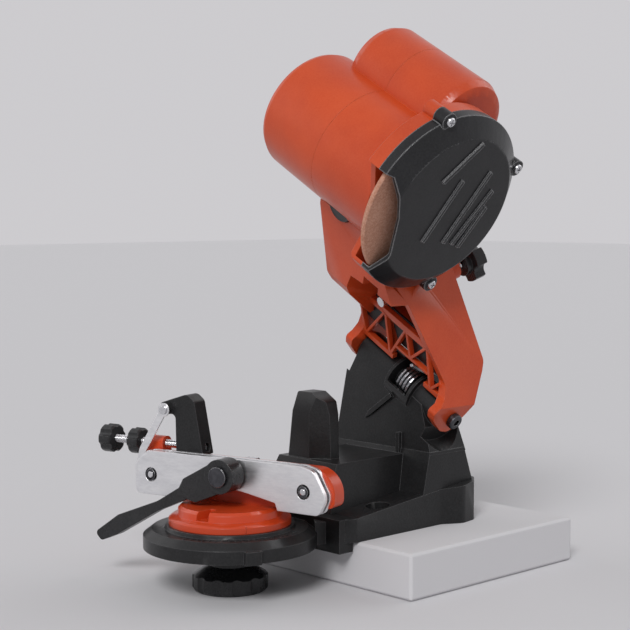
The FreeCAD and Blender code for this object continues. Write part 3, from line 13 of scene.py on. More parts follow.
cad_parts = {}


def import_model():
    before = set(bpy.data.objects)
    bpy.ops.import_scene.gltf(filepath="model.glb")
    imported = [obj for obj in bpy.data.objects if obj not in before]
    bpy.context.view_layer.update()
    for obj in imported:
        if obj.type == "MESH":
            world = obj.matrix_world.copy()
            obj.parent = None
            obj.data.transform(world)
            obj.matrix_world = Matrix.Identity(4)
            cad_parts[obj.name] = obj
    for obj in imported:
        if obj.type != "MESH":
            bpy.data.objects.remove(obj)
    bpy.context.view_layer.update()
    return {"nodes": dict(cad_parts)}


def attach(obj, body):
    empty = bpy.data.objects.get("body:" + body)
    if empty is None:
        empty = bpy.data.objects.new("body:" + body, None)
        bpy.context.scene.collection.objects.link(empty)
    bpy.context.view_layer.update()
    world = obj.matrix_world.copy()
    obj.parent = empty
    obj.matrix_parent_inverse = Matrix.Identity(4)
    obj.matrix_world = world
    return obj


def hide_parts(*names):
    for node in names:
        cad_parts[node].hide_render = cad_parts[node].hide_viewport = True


LOG = logging.getLogger("sharpener")

Point = tuple[float, float]
Span = tuple[float, float]
Place = tuple[float, float, float]
Colour = tuple[float, float, float]
Socket = bpy.types.NodeSocket
Sockets = bpy.types.bpy_prop_collection
Value = float | Socket
Tint = Colour | Socket

MILLIMETRE = 0.001
PART_MM = Matrix.Scale(MILLIMETRE, 4)
FLAT_ANGLE = math.radians(1.0)
WELD = 0.002
RING_WELD = 0.0001
NORMAL_WEIGHT = 60
CREASE, SOFT_CREASE = 30.0, 40.0
SHARP_EDGE = 35.0
PATTERN_INPUTS = {"Vector": "Vector", "Scale": "Float"}
PATTERN_OUTPUTS = {"Height": "Float", "Tone": "Float"}
MIX_SHARE, MIX_FIRST, MIX_SECOND, MIX_RESULT = 0, 6, 7, 2

HEAD_TILT = math.radians(30.0)
VISE_TURN = math.radians(15.0)
STOP_SLOPE = math.radians(23.0)
BENCH_BOLT_LINE = 80.0
GRIND_HEIGHT = 53.0
WHEEL_Y = 84.0
WHEEL_RISE = 170.0
HOUSING_CENTRE = (83.5, 168.0)
STOP_TIP = (-15.0, 93.1, 90.4)
ROD_LINE = (9.4, 53.0)

X_AXIS = Vector((1.0, 0.0, 0.0))
Y_AXIS = Vector((0.0, 1.0, 0.0))
Z_AXIS = Vector((0.0, 0.0, 1.0))
WHEEL_AXIS = Vector((math.cos(HEAD_TILT), 0.0, -math.sin(HEAD_TILT)))
HEAD_UP = Vector((math.sin(HEAD_TILT), 0.0, math.cos(HEAD_TILT)))
VISE_X = Vector((math.cos(VISE_TURN), math.sin(VISE_TURN), 0.0))
VISE_Y = Vector((-math.sin(VISE_TURN), math.cos(VISE_TURN), 0.0))
STOP_AXIS = Y_AXIS * math.cos(STOP_SLOPE) + HEAD_UP * math.sin(STOP_SLOPE)


class Body(Enum):
    """Moving bodies that pieces ride on."""

    BASE = "base"
    VISE = "vise"
    FRONT_PLATE = "front_plate"
    LEVER = "clamp_lever"
    CARRIER = "stop_carrier"
    PAWL = "chain_pawl"
    STOP_ROD = "stop_rod"
    LOCK_KNOB = "lock_knob"
    CLAMP_KNOB = "clamp_knob"
    HEAD = "head"
    DEPTH_SCREW = "depth_screw"
    BUTTON = "power_button"
    SPINDLE = "spindle"


class Slot(Enum):
    """Material slots of the record."""

    BLACK_PLASTIC = "black_plastic"
    ORANGE_PLASTIC = "orange_plastic"
    ORANGE_PAINT = "orange_paint"
    BARE_PLATE = "bare_plate"
    STEEL = "steel"
    DARK_STEEL = "dark_steel"
    RUBBER = "rubber"


# Places


def place_matrix(x_axis: Vector, y_axis: Vector, z_axis: Vector, origin: Vector) -> Matrix:
    """Matrix from a piece's own millimetres to the part's metres.

    Args:
        x_axis: Direction of the piece's x.
        y_axis: Direction of the piece's y.
        z_axis: Direction of the piece's z.
        origin: Place of the piece's zero point, in bench millimetres.

    Returns:
        The matrix, with the step from millimetres to metres in it.
    """
    turn = Matrix((x_axis, y_axis, z_axis)).transposed().to_4x4()
    shift = Matrix.Translation((origin - Y_AXIS * BENCH_BOLT_LINE) * MILLIMETRE)
    return shift @ turn @ PART_MM


def head_point(along: float, back: float, up: float) -> Vector:
    """Point in bench millimetres, from its place along the wheel's axis, back and up the head."""
    return WHEEL_AXIS * along + Y_AXIS * back + HEAD_UP * up + Z_AXIS * GRIND_HEIGHT


def vise_point(along: float, back: float, up: float) -> Vector:
    """Point in bench millimetres, from its place along the chain plates, back and up."""
    return VISE_X * along + VISE_Y * back + Z_AXIS * up


def on_axle(along: float, back: float = WHEEL_Y, up: float = WHEEL_RISE) -> Matrix:
    """Place on the head with z along the wheel's axis, x back and y up the head."""
    return place_matrix(Y_AXIS, HEAD_UP, WHEEL_AXIS, head_point(along, back, up))


def on_bench(height: float = 0.0) -> Matrix:
    """Upright place at the vise's stud, at a height over the bench."""
    return place_matrix(X_AXIS, Y_AXIS, Z_AXIS, Z_AXIS * height)


def on_plate(along: float, back: float, up: float) -> Matrix:
    """Place on the vise with z out of its front, x along the chain plates and y up."""
    return place_matrix(VISE_X, Z_AXIS, -VISE_Y, vise_point(along, back, up))


def on_rod(along: float) -> Matrix:
    """Place on the stop rod with z along it to the right, x back and y up."""
    return place_matrix(VISE_Y, Z_AXIS, VISE_X, vise_point(along, *ROD_LINE))


def on_stop() -> Matrix:
    """Place at the depth stop's tip with z along its screw and x along the wheel's axis."""
    return place_matrix(WHEEL_AXIS, STOP_AXIS.cross(WHEEL_AXIS), STOP_AXIS, head_point(*STOP_TIP))


def turn_about(degrees: float, axis: str = "Z") -> Matrix:
    """Turn by an angle about an axis of the piece's own."""
    return Matrix.Rotation(math.radians(degrees), 4, axis)


# Bench work


def deselect_all() -> None:
    """Leave nothing selected, so that an operator acts on the new piece alone."""
    for thing in bpy.context.selected_objects:
        thing.select_set(False)
    bpy.context.view_layer.objects.active = None


def take(piece: bpy.types.Object) -> None:
    """Select one piece alone and make it active.

    Args:
        piece: The piece to work on.
    """
    deselect_all()
    piece.select_set(True)
    bpy.context.view_layer.objects.active = piece


@dataclass(frozen=True)
class Thread:
    """Sizes of a screw thread along z."""

    root: float
    crest: float
    start: float
    turns: int
    pitch: float = 1.25
    steps: int = 18
    crest_share: float = 0.42
    foot_share: float = 0.84

    @property
    def section(self) -> Sequence[Point]:
        """Corners of the ridge as (radius, share of the pitch)."""
        return (self.root, 0.0), (self.crest, self.crest_share), (self.root, self.foot_share)


class Shaper:
    """One piece under work in its own millimetres, from a primitive to its finished mesh."""

    def __init__(self, name: str) -> None:
        """Take the finished piece's name."""
        self.name = name
        self.piece: bpy.types.Object | None = None

    def adopt(self) -> "Shaper":
        """Take over the primitive that was just added.

        Returns:
            The shaper.
        """
        self.piece = bpy.context.object
        self.piece.name = self.name
        self.piece.data.name = self.name
        return self

    def block(self, low: Place, high: Place) -> "Shaper":
        """Start from a cube stretched between two corners.

        Args:
            low: Lowest corner.
            high: Highest corner.

        Returns:
            The shaper.
        """
        deselect_all()
        middle = [(a + b) / 2 for a, b in zip(low, high)]
        size = [b - a for a, b in zip(low, high)]
        bpy.ops.mesh.primitive_cube_add(size=1.0, location=middle)
        bpy.ops.transform.resize(value=size)
        bpy.ops.object.transform_apply(location=True, rotation=True, scale=True)
        return self.adopt()

    def turned(self, profile: Sequence[Point], sides: int = 32) -> "Shaper":
        """Start from a disc and draw it out along z from one ring of the profile to the next.

        Args:
            profile: Rings as (radius, z), in order.
            sides: Number of sides.

        Returns:
            The shaper.
        """
        deselect_all()
        radius, height = profile[0]
        bpy.ops.mesh.primitive_circle_add(vertices=sides, radius=radius, location=(0, 0, height),
                                          fill_type="NGON")
        bpy.ops.object.transform_apply(location=True, rotation=True, scale=True)
        self.adopt()
        bpy.ops.object.mode_set(mode="EDIT")
        bpy.ops.mesh.select_all(action="SELECT")
        for next_radius, next_height in profile[1:]:
            rise = {"value": (0, 0, next_height - height)}
            bpy.ops.mesh.extrude_region_move(TRANSFORM_OT_translate=rise)
            ratio = next_radius / radius
            bpy.ops.transform.resize(value=(ratio, ratio, 1), center_override=(0, 0, next_height))
            radius, height = next_radius, next_height
        bpy.ops.mesh.select_all(action="SELECT")
        bpy.ops.mesh.remove_doubles(threshold=RING_WELD)
        bpy.ops.mesh.normals_make_consistent(inside=False)
        return self.done()

    def node_copy(self, node: bpy.types.Object) -> "Shaper":
        """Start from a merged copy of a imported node, in millimetres about the part's origin.

        Args:
            node: The node to copy.

        Returns:
            The shaper.
        """
        deselect_all()
        self.piece = bpy.data.objects.new(self.name, node.data.copy())
        self.piece.data.name = self.name
        bpy.context.scene.collection.objects.link(self.piece)
        self.piece.data.materials.clear()
        take(self.piece)
        self.piece.scale = [1.0 / MILLIMETRE] * 3
        bpy.ops.object.transform_apply(location=False, rotation=False, scale=True)
        if self.piece.data.has_custom_normals:
            bpy.ops.mesh.customdata_custom_splitnormals_clear()
        bpy.ops.object.mode_set(mode="EDIT")
        bpy.ops.mesh.select_all(action="SELECT")
        bpy.ops.mesh.remove_doubles(threshold=WELD)
        bpy.ops.mesh.dissolve_limited(angle_limit=FLAT_ANGLE)
        return self.done()

    def ridge(self, thread: "Thread") -> "Shaper":
        """Start from a triangle and wind it along z as the ridge of a screw thread.

        Args:
            thread: The thread's sizes.

        Returns:
            The shaper.
        """
        deselect_all()
        bpy.ops.mesh.primitive_circle_add(vertices=3, radius=1.0, fill_type="NOTHING")
        self.adopt()
        for corner, (radius, rise) in zip(self.piece.data.vertices, thread.section):
            corner.co = (radius, 0.0, thread.start + thread.pitch * rise)
        return self.modifier("SCREW", axis="Z", screw_offset=thread.pitch,
                             iterations=thread.turns, steps=thread.steps,
                             render_steps=thread.steps, use_normal_calculate=True)

    def pick_faces(self, test: Callable[[Vector, Vector], bool]) -> "Shaper":
        """Select the faces that pass a test, and stay in edit mode.

        Args:
            test: Takes a face's middle and its normal.

        Returns:
            The shaper.
        """
        take(self.piece)
        bpy.ops.object.mode_set(mode="EDIT")
        bpy.ops.mesh.select_mode(type="FACE")
        bpy.ops.mesh.select_all(action="DESELECT")
        mesh = bmesh.from_edit_mesh(self.piece.data)
        for face in mesh.faces:
            face.select_set(test(face.calc_center_median(), face.normal))
        mesh.select_flush_mode()
        bmesh.update_edit_mesh(self.piece.data)
        return self

    def done(self) -> "Shaper":
        """Leave edit mode."""
        bpy.ops.object.mode_set(mode="OBJECT")
        return self

    def inset(self, width: float, depth: float) -> "Shaper":
        """Inset the picked faces by a width, and sink or raise them by a depth."""
        bpy.ops.mesh.inset(thickness=width, depth=depth)
        return self

    def modifier(self, kind: str, **settings: object) -> "Shaper":
        """Add a modifier and apply it.

        Args:
            kind: Blender's type of modifier.
            **settings: Its settings.

        Returns:
            The shaper.
        """
        take(self.piece)
        added = self.piece.modifiers.new(kind.title(), kind)
        for key, value in settings.items():
            setattr(added, key, value)
        bpy.ops.object.modifier_apply(modifier=added.name)
        return self

    def soften(self, width: float, segments: int = 2, angle: float = SHARP_EDGE) -> "Shaper":
        """Round edges sharper than an angle in degrees, by up to a width that short edges limit."""
        return self.modifier("BEVEL", width=width, segments=segments, limit_method="ANGLE",
                             angle_limit=math.radians(angle), miter_outer="MITER_ARC")

    def carve(self, tool: "Shaper") -> "Shaper":
        """Cut another piece, in the same millimetres, away from this one, and drop it.

        Args:
            tool: The other piece.

        Returns:
            The shaper.
        """
        self.modifier("BOOLEAN", object=tool.piece, operation="DIFFERENCE", solver="EXACT")
        bpy.data.objects.remove(tool.piece)
        return self

    def smooth(self, angle: float = CREASE) -> "Shaper":
        """Shade the piece smooth, with creases kept at sharp edges.

        Args:
            angle: Least angle of a crease, in degrees.

        Returns:
            The shaper.
        """
        take(self.piece)
        bpy.ops.object.shade_smooth_by_angle(angle=math.radians(angle))
        return self.modifier("WEIGHTED_NORMAL", keep_sharp=True, weight=NORMAL_WEIGHT)

    def moved(self, step: Matrix) -> "Shaper":
        """Move or turn the piece inside its own millimetres."""
        self.piece.data.transform(step)
        return self

    def copies(self, places: Sequence[Matrix]) -> "Shaper":
        """Set copies of the piece at several places, and make one piece of them.

        Args:
            places: A matrix for each copy, in the piece's own millimetres.

        Returns:
            The shaper.
        """
        made = []
        for place in places:
            twin = bpy.data.objects.new(self.name, self.piece.data.copy())
            bpy.context.scene.collection.objects.link(twin)
            twin.data.transform(place)
            made.append(twin)
        bpy.data.objects.remove(self.piece)
        return self.joined(made)

    def joined(self, others: Sequence[bpy.types.Object]) -> "Shaper":
        """Make one piece of several.

        Args:
            others: The pieces; the first one keeps its name.

        Returns:
            The shaper.
        """
        take(others[0])
        for other in others:
            other.select_set(True)
        bpy.ops.object.join()
        return self.adopt()

    def with_piece(self, other: "Shaper") -> "Shaper":
        """Join another piece under work to this one."""
        return self.joined([self.piece, other.piece])

    def finish(self, place: Matrix, body: Body, slot: Slot, finish: "Finish",
               replaces: Sequence[str] = ()) -> None:
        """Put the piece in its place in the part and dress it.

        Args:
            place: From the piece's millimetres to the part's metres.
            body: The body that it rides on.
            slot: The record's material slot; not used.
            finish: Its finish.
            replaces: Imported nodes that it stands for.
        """
        self.piece.data.transform(place)
        self.piece.data.materials.append(finish.material())
        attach(self.piece, body.value)
        if replaces:
            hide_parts(*replaces)
        LOG.info("piece %s rides on %s", self.piece.name, body.value)


@dataclass(frozen=True)
class CrossScrew:
    """Pan-head screw with a cross recess, its seat at z = 0 and its shank below."""

    shank: float
    length: float
    head: float
    height: float
    crown: Sequence[Point] = ((1.0, 0.0), (1.0, 0.4), (0.9, 0.75), (0.66, 1.0))
    slot_width: float = 0.28
    slot_reach: float = 0.62
    slot_floor: float = 0.35
    slot_top: float = 2.0

    def make(self, name: str) -> Shaper:
        """Model the screw.

        Args:
            name: The finished piece's name.

        Returns:
            The screw under work.
        """
        rings = [(self.head * across, self.height * up) for across, up in self.crown]
        screw = Shaper(name).turned([(self.shank, -self.length), (self.shank, 0.0), *rings])
        wide, long = self.head * self.slot_width / 2, self.head * self.slot_reach
        for degrees in (0.0, 90.0):
            recess = Shaper("recess").block((-wide, -long, self.height * self.slot_floor),
                                            (wide, long, self.height * self.slot_top))
            screw.carve(recess.moved(turn_about(degrees)))
        return screw.smooth(SHARP_EDGE)


# Finishes


class Tree:
    """A node tree under construction."""

    def __init__(self, tree: bpy.types.NodeTree) -> None:
        """Take the node tree of a material, a world or a group."""
        self.tree = tree

    def fill(self, node: bpy.types.Node, inputs: dict[str | int, object]) -> bpy.types.Node:
        """Set a node's sockets, or link them to other nodes' outputs.

        Args:
            node: The node.
            inputs: Socket name or number to a value or an output.

        Returns:
            The node.
        """
        for key, value in inputs.items():
            if isinstance(value, Socket):
                self.tree.links.new(value, node.inputs[key])
            else:
                node.inputs[key].default_value = value
        return node

    def add(self, kind: str, inputs: dict[str | int, object], **settings: object) -> bpy.types.Node:
        """Add a node and fill its sockets.

        Args:
            kind: Blender's name of the node, without ShaderNode.
            inputs: Socket name or number to a value or an output.
            **settings: The node's own settings.

        Returns:
            The node.
        """
        node = self.tree.nodes.new("ShaderNode" + kind)
        for key, value in settings.items():
            setattr(node, key, value)
        return self.fill(node, inputs)

    def math(self, operation: str, first: Value, second: Value) -> Socket:
        """Result of a Math node on two numbers or outputs."""
        return self.add("Math", {0: first, 1: second}, operation=operation).outputs[0]

    def noise(self, vector: Socket, scale: Value, detail: float = 3.0,
              roughness: float = 0.55) -> Socket:
        """Value of a Noise Texture, about 0 to 1."""
        return self.add("TexNoise", {"Vector": vector, "Scale": scale, "Detail": detail,
                                     "Roughness": roughness}).outputs["Fac"]

    def spread(self, value: Value, low: float, high: float, to_low: float = 0.0,
               to_high: float = 1.0) -> Socket:
        """Value mapped from low and high to two others, and held between them."""
        return self.add("MapRange", {"Value": value, "From Min": low, "From Max": high,
                                     "To Min": to_low, "To Max": to_high}).outputs["Result"]

    def blend(self, share: Value, first: Tint, second: Tint) -> Socket:
        """Mix two colours.

        Args:
            share: Share of the second.
            first: First colour, or an output.
            second: Second colour, or an output.

        Returns:
            The mixed colour.
        """
        inputs = {MIX_SHARE: share, MIX_FIRST: first, MIX_SECOND: second}
        for key in (MIX_FIRST, MIX_SECOND):
            if isinstance(inputs[key], tuple):
                inputs[key] = (*inputs[key], 1.0)
        return self.add("Mix", inputs, data_type="RGBA").outputs[MIX_RESULT]

    def bump(self, height: Value, distance: float, normal: Socket) -> Socket:
        """Normal bumped by a height, of which 1 stands for a distance in metres."""
        return self.add("Bump", {"Height": height, "Distance": distance, "Strength": 1.0,
                                 "Normal": normal}).outputs["Normal"]


class Effect(Enum):
    """Effects that several finishes share, each a node group that is built once."""

    # The edge mask drives real wear on paint and metal, and painted highlight on the edges of the
    # mouldings.
    EDGE = "edge_wear_and_glint"
    GRAIN = "mould_grain"
    LINES = "machined_lines"
    SMUDGE = "handling_smudge"

    def group(self) -> bpy.types.NodeTree:
        """Build the effect's node group at its first use.

        Returns:
            The node group.
        """
        if self.value in bpy.data.node_groups:
            return bpy.data.node_groups[self.value]
        group = bpy.data.node_groups.new(self.value, "ShaderNodeTree")
        builders = {Effect.EDGE: build_edge, Effect.GRAIN: build_grain,
                    Effect.LINES: build_lines, Effect.SMUDGE: build_smudge}
        builders[self](Tree(group))
        return group


def sockets(tree: Tree, ins: dict[str, str],
            outs: dict[str, str]) -> tuple[Sockets, bpy.types.Node]:
    """Make a group's named sockets.

    Args:
        tree: The group's tree.
        ins: Input name to socket type.
        outs: Output name to socket type.

    Returns:
        What the group is given, by name, and its output node.
    """
    for way, names in (("INPUT", ins), ("OUTPUT", outs)):
        for name, kind in names.items():
            tree.tree.interface.new_socket(name, in_out=way, socket_type="NodeSocket" + kind)
    nodes = tree.tree.nodes
    return nodes.new("NodeGroupInput").outputs, nodes.new("NodeGroupOutput")


def build_edge(tree: Tree, span: Span = (0.01, 0.16)) -> None:
    """Rounded normal at edges, and a mask that is bright there.

    Args:
        tree: The group's tree.
        span: How unlike the normals are where the mask starts and where it is full.
    """
    given, out = sockets(tree, {"Radius": "Float"}, {"Mask": "Float", "Normal": "Vector"})
    rounded = tree.add("Bevel", {"Radius": given["Radius"]}, samples=4).outputs["Normal"]
    flat = tree.add("NewGeometry", {}).outputs["Normal"]
    alike = tree.add("VectorMath", {0: rounded, 1: flat}, operation="DOT_PRODUCT").outputs["Value"]
    mask = tree.spread(tree.math("SUBTRACT", 1.0, alike), *span)
    tree.fill(out, {"Mask": mask, "Normal": rounded})


def build_grain(tree: Tree, middle_size: float = 0.12, fine_share: float = 0.7,
                middle_share: float = 0.3, tone_size: float = 22.0) -> None:
    """Fine spark-eroded grain of a moulding, and the slow change of tone across it.

    Args:
        tree: The group's tree.
        middle_size: Scale of the middle grain, as a share of the fine one's.
        fine_share: The fine grain's share of the height.
        middle_share: The middle grain's share of the height.
        tone_size: Scale of the change of tone.
    """
    given, out = sockets(tree, PATTERN_INPUTS, PATTERN_OUTPUTS)
    fine = tree.noise(given["Vector"], given["Scale"], detail=2.0)
    middle = tree.noise(given["Vector"], tree.math("MULTIPLY", given["Scale"], middle_size))
    height = tree.math("ADD", tree.math("MULTIPLY", fine, fine_share),
                       tree.math("MULTIPLY", middle, middle_share))
    tree.fill(out, {"Height": height, "Tone": tree.noise(given["Vector"], tone_size)})


def build_lines(tree: Tree, wide_size: float = 0.17, wide_share: float = 0.5) -> None:
    """Fine parallel lines that a grinding or drawing tool leaves.

    Args:
        tree: The group's tree.
        wide_size: Scale of the wide lines, as a share of the fine ones'.
        wide_share: Their share of the tone.
    """
    given, out = sockets(tree, PATTERN_INPUTS, PATTERN_OUTPUTS)
    fine = tree.noise(given["Vector"], given["Scale"], detail=4.0, roughness=0.7)
    wide = tree.noise(given["Vector"], tree.math("MULTIPLY", given["Scale"], wide_size), detail=2.0)
    tone = tree.math("ADD", tree.math("MULTIPLY", fine, 1.0 - wide_share),
                     tree.math("MULTIPLY", wide, wide_share))
    tree.fill(out, {"Height": fine, "Tone": tone})


def build_smudge(tree: Tree, span: Span = (0.47, 0.68)) -> None:
    """Soft patches that handling and dust leave.

    Args:
        tree: The group's tree.
        span: Values of the noise where a patch starts and where it is full.
    """
    given, out = sockets(tree, PATTERN_INPUTS, {"Mask": "Float"})
    patch = tree.noise(given["Vector"], given["Scale"], detail=5.0, roughness=0.62)
    tree.fill(out, {"Mask": tree.spread(patch, *span)})


@dataclass
class Surface:
    """What a finish's pattern starts from in its material."""

    tree: Tree
    where: Socket
    edge: Socket
    normal: Socket

    def effect(self, effect: Effect, scale: float, vector: Socket | None = None) -> Sockets:
        """Outputs of a shared effect at a scale, on Object coordinates or on others given."""
        return self.tree.add("Group", {"Vector": vector or self.where, "Scale": scale},
                             node_tree=effect.group()).outputs


@dataclass(frozen=True)
class Finish:
    """A surface finish; its kinds add their own pattern."""

    name: str
    colour: Colour
    roughness: float
    metallic: float = 0.0
    specular: float = 0.5
    coat: float = 0.0
    coat_roughness: float = 0.18
    edge_radius: float = 0.0006
    noise_span: Span = (0.3, 0.7)

    def material(self) -> bpy.types.Material:
        """Build the finish's material at its first use.

        Returns:
            The material.
        """
        if self.name in bpy.data.materials:
            return bpy.data.materials[self.name]
        material = bpy.data.materials.new(self.name)
        material.use_nodes = True
        material.diffuse_color = (*self.colour, 1.0)
        tree = Tree(material.node_tree)
        shader = material.node_tree.nodes["Principled BSDF"]
        tree.fill(shader, {"Base Color": (*self.colour, 1.0), "Roughness": self.roughness,
                           "Metallic": self.metallic, "Specular IOR Level": self.specular,
                           "Coat Weight": self.coat, "Coat Roughness": self.coat_roughness})
        where = tree.add("TexCoord", {}).outputs["Object"]
        edge = tree.add("Group", {"Radius": self.edge_radius},
                        node_tree=Effect.EDGE.group()).outputs
        tree.fill(shader, self.pattern(Surface(tree, where, edge["Mask"], edge["Normal"])))
        return material

    def pattern(self, on: Surface) -> dict[str, Socket]:
        """What the finish links to the shader, by socket name."""
        raise NotImplementedError


@dataclass(frozen=True, kw_only=True)
class Moulding(Finish):
    """Injection-moulded plastic with a fine grain."""

    shade: Colour
    glint_and_wear: Colour
    glint_and_wear_share: float = 0.35
    grain: float = 900.0
    grain_depth: float = 0.00006
    speck: float = 0.12
    speck_span: Span = (0.35, 0.65)
    smudge_size: float = 38.0
    clean_gloss: float = 0.05
    smudge_matt: float = 0.11
    edge_gloss: float = 0.08

    def pattern(self, on: Surface) -> dict[str, Socket]:
        """Grain, slow change of tone, handling marks, and edges lightened as painted highlight and
        as wear.

        Args:
            on: What it starts from.

        Returns:
            Shader socket name to output.
        """
        tree = on.tree
        grain = on.effect(Effect.GRAIN, self.grain)
        smudge = on.effect(Effect.SMUDGE, self.smudge_size)["Mask"]
        body = tree.blend(tree.spread(grain["Tone"], *self.noise_span), self.shade, self.colour)
        speck = tree.spread(grain["Height"], *self.speck_span, 0.0, self.speck)
        body = tree.blend(speck, body, self.glint_and_wear)
        # Painted highlight and wear: the edge mask mixes edges towards a lighter colour, which on
        # black mouldings stands in for glints along ridges and on orange stands for wear.
        body = tree.blend(tree.math("MULTIPLY", on.edge, self.glint_and_wear_share), body, self.glint_and_wear)
        rough = tree.math("ADD", self.roughness - self.clean_gloss,
                          tree.math("MULTIPLY", smudge, self.smudge_matt))
        rough = tree.math("SUBTRACT", rough, tree.math("MULTIPLY", on.edge, self.edge_gloss))
        return {"Base Color": body, "Roughness": rough,
                "Normal": tree.bump(grain["Height"], self.grain_depth, on.normal)}


@dataclass(frozen=True, kw_only=True)
class Paint(Finish):
    """Thick paint on a casting, with a slight orange peel and worn edges."""

    shade: Colour
    under: Colour = (0.25, 0.24, 0.23)
    peel: float = 380.0
    peel_depth: float = 0.00012
    chip_size: float = 120.0
    chip_span: Span = (0.55, 0.9)
    chip_share: float = 0.55
    chip_matt: float = 0.25

    def pattern(self, on: Surface) -> dict[str, Socket]:
        """Orange peel, change of tone, and paint rubbed thin at the edges.

        Args:
            on: What it starts from.

        Returns:
            Shader socket name to output.
        """
        tree = on.tree
        grain = on.effect(Effect.GRAIN, self.peel)
        patch = on.effect(Effect.SMUDGE, self.chip_size)["Mask"]
        body = tree.blend(tree.spread(grain["Tone"], *self.noise_span), self.shade, self.colour)
        chip = tree.math("MULTIPLY", tree.spread(on.edge, *self.chip_span), patch)
        body = tree.blend(tree.math("MULTIPLY", chip, self.chip_share), body, self.under)
        rough = tree.math("ADD", self.roughness, tree.math("MULTIPLY", chip, self.chip_matt))
        return {"Base Color": body, "Roughness": rough,
                "Normal": tree.bump(grain["Height"], self.peel_depth, on.normal)}


@dataclass(frozen=True, kw_only=True)
class Metal(Finish):
    """Bare or blackened metal with fine tool lines along or round it."""

    dark: Colour
    rubbed: Colour = (0.9, 0.9, 0.9)
    rubbed_share: float = 0.4
    stretch: Place = (20.0, 900.0, 900.0)
    line_span: Span = (0.32, 0.62)
    line_depth: float = 0.00002
    line_matt: float = 0.06
    stain_size: float = 90.0
    stain_share: float = 0.25
    stain_matt: float = 0.08
    turn: float = 0.0

    def pattern(self, on: Surface) -> dict[str, Socket]:
        """Tool lines, soft stains and brighter edges.

        Args:
            on: What it starts from.

        Returns:
            Shader socket name to output.
        """
        tree = on.tree
        mapped = tree.add("Mapping", {"Vector": on.where, "Scale": self.stretch,
                                      "Rotation": (0.0, 0.0, self.turn)}).outputs[0]
        lines = on.effect(Effect.LINES, scale=1.0, vector=mapped)
        stain = on.effect(Effect.SMUDGE, self.stain_size)["Mask"]
        body = tree.blend(tree.spread(lines["Tone"], *self.line_span), self.dark, self.colour)
        body = tree.blend(tree.math("MULTIPLY", stain, self.stain_share), body, self.dark)
        body = tree.blend(tree.math("MULTIPLY", on.edge, self.rubbed_share), body, self.rubbed)
        rough = tree.math("ADD", self.roughness, tree.spread(
            lines["Height"], *self.noise_span, -self.line_matt, self.line_matt))
        rough = tree.math("ADD", rough, tree.math("MULTIPLY", stain, self.stain_matt))
        return {"Base Color": body, "Roughness": rough,
                "Normal": tree.bump(lines["Height"], self.line_depth, on.normal)}


@dataclass(frozen=True)
class Grit(Finish):
    """Bonded abrasive: grains of two tones in a dull bond."""

    light: Colour = (0.72, 0.42, 0.31)
    pore: Colour = (0.20, 0.10, 0.07)
    grain: float = 1150.0
    grain_spread: Sequence[float] = (0.25, 0.8, 0.0, 0.6)
    pore_size: float = 1700.0
    pore_spread: Sequence[float] = (0.60, 0.72, 0.0, 0.4)
    patch_size: float = 45.0
    patch_spread: Sequence[float] = (0.35, 0.7, 0.0, 0.25)
    depth: float = 0.0002

    def pattern(self, on: Surface) -> dict[str, Socket]:
        """Grains, pores and a slight change of tone over the wheel.

        Args:
            on: What it starts from.

        Returns:
            Shader socket name to output.
        """
        tree = on.tree
        cells = tree.add("TexVoronoi", {"Vector": on.where, "Scale": self.grain}).outputs
        pores = tree.noise(on.where, self.pore_size, roughness=0.7)
        patch = tree.noise(on.where, self.patch_size)
        body = tree.blend(tree.spread(cells["Color"], *self.grain_spread), self.colour, self.light)
        body = tree.blend(tree.spread(pores, *self.pore_spread), body, self.pore)
        body = tree.blend(tree.spread(patch, *self.patch_spread), body, self.light)
        height = tree.math("ADD", cells["Distance"], pores)
        return {"Base Color": body, "Normal": tree.bump(height, self.depth, on.normal)}


ORANGE = Moulding("orange_moulding", (0.62, 0.072, 0.015), 0.34, specular=0.34, coat=0.08,
                  shade=(0.51, 0.052, 0.012), glint_and_wear=(0.80, 0.19, 0.07))
# On the black mouldings the lighter edge colour is painted highlight, standing in for glints along
# their ridges.
BLACK = Moulding("black_moulding", (0.013, 0.013, 0.0135), 0.38, specular=0.30,
                 shade=(0.008, 0.008, 0.0085), glint_and_wear=(0.14, 0.14, 0.145), glint_and_wear_share=0.55,
                 grain_depth=0.00009, speck=0.07)
# Painted highlight: the cover's edges and rib crests are lightened to pale grey over a wider
# radius, standing in for glints on them.
COVER_BLACK = Moulding("cover_black", (0.014, 0.014, 0.0155), 0.34, specular=0.32,
                       shade=(0.009, 0.009, 0.010), glint_and_wear=(0.42, 0.42, 0.43), glint_and_wear_share=0.9,
                       grain_depth=0.00005, edge_radius=0.0011, speck=0.02)
KNOB_BLACK = Moulding("knob_black", (0.013, 0.013, 0.014), 0.32, specular=0.4,
                      shade=(0.010, 0.010, 0.011), glint_and_wear=(0.13, 0.13, 0.135), glint_and_wear_share=0.45)
SPRUNG_BLACK = Moulding("button_black", (0.018, 0.018, 0.019), 0.30, specular=0.5,
                        shade=(0.012, 0.012, 0.013), glint_and_wear=(0.12, 0.12, 0.12))
VISE_PAINT = Paint("vise_paint", (0.62, 0.062, 0.014), 0.28, specular=0.35, coat=0.2,
                   shade=(0.52, 0.048, 0.011))
PLATE = Metal("plate_steel", (0.93, 0.93, 0.94), 0.34, metallic=1.0, dark=(0.78, 0.78, 0.80),
              turn=-VISE_TURN)
BRIGHT = Metal("bright_steel", (0.80, 0.80, 0.82), 0.24, metallic=1.0, dark=(0.58, 0.58, 0.60),
               stretch=(500.0, 500.0, 500.0))
SPRING_STEEL = Metal("spring_steel", (0.42, 0.42, 0.44), 0.28, metallic=1.0,
                     dark=(0.2, 0.2, 0.21), stretch=(600.0, 600.0, 600.0))
BLACKENED = Metal("blackened_steel", (0.10, 0.10, 0.11), 0.38, metallic=1.0,
                  dark=(0.045, 0.045, 0.05), stretch=(420.0, 420.0, 420.0))
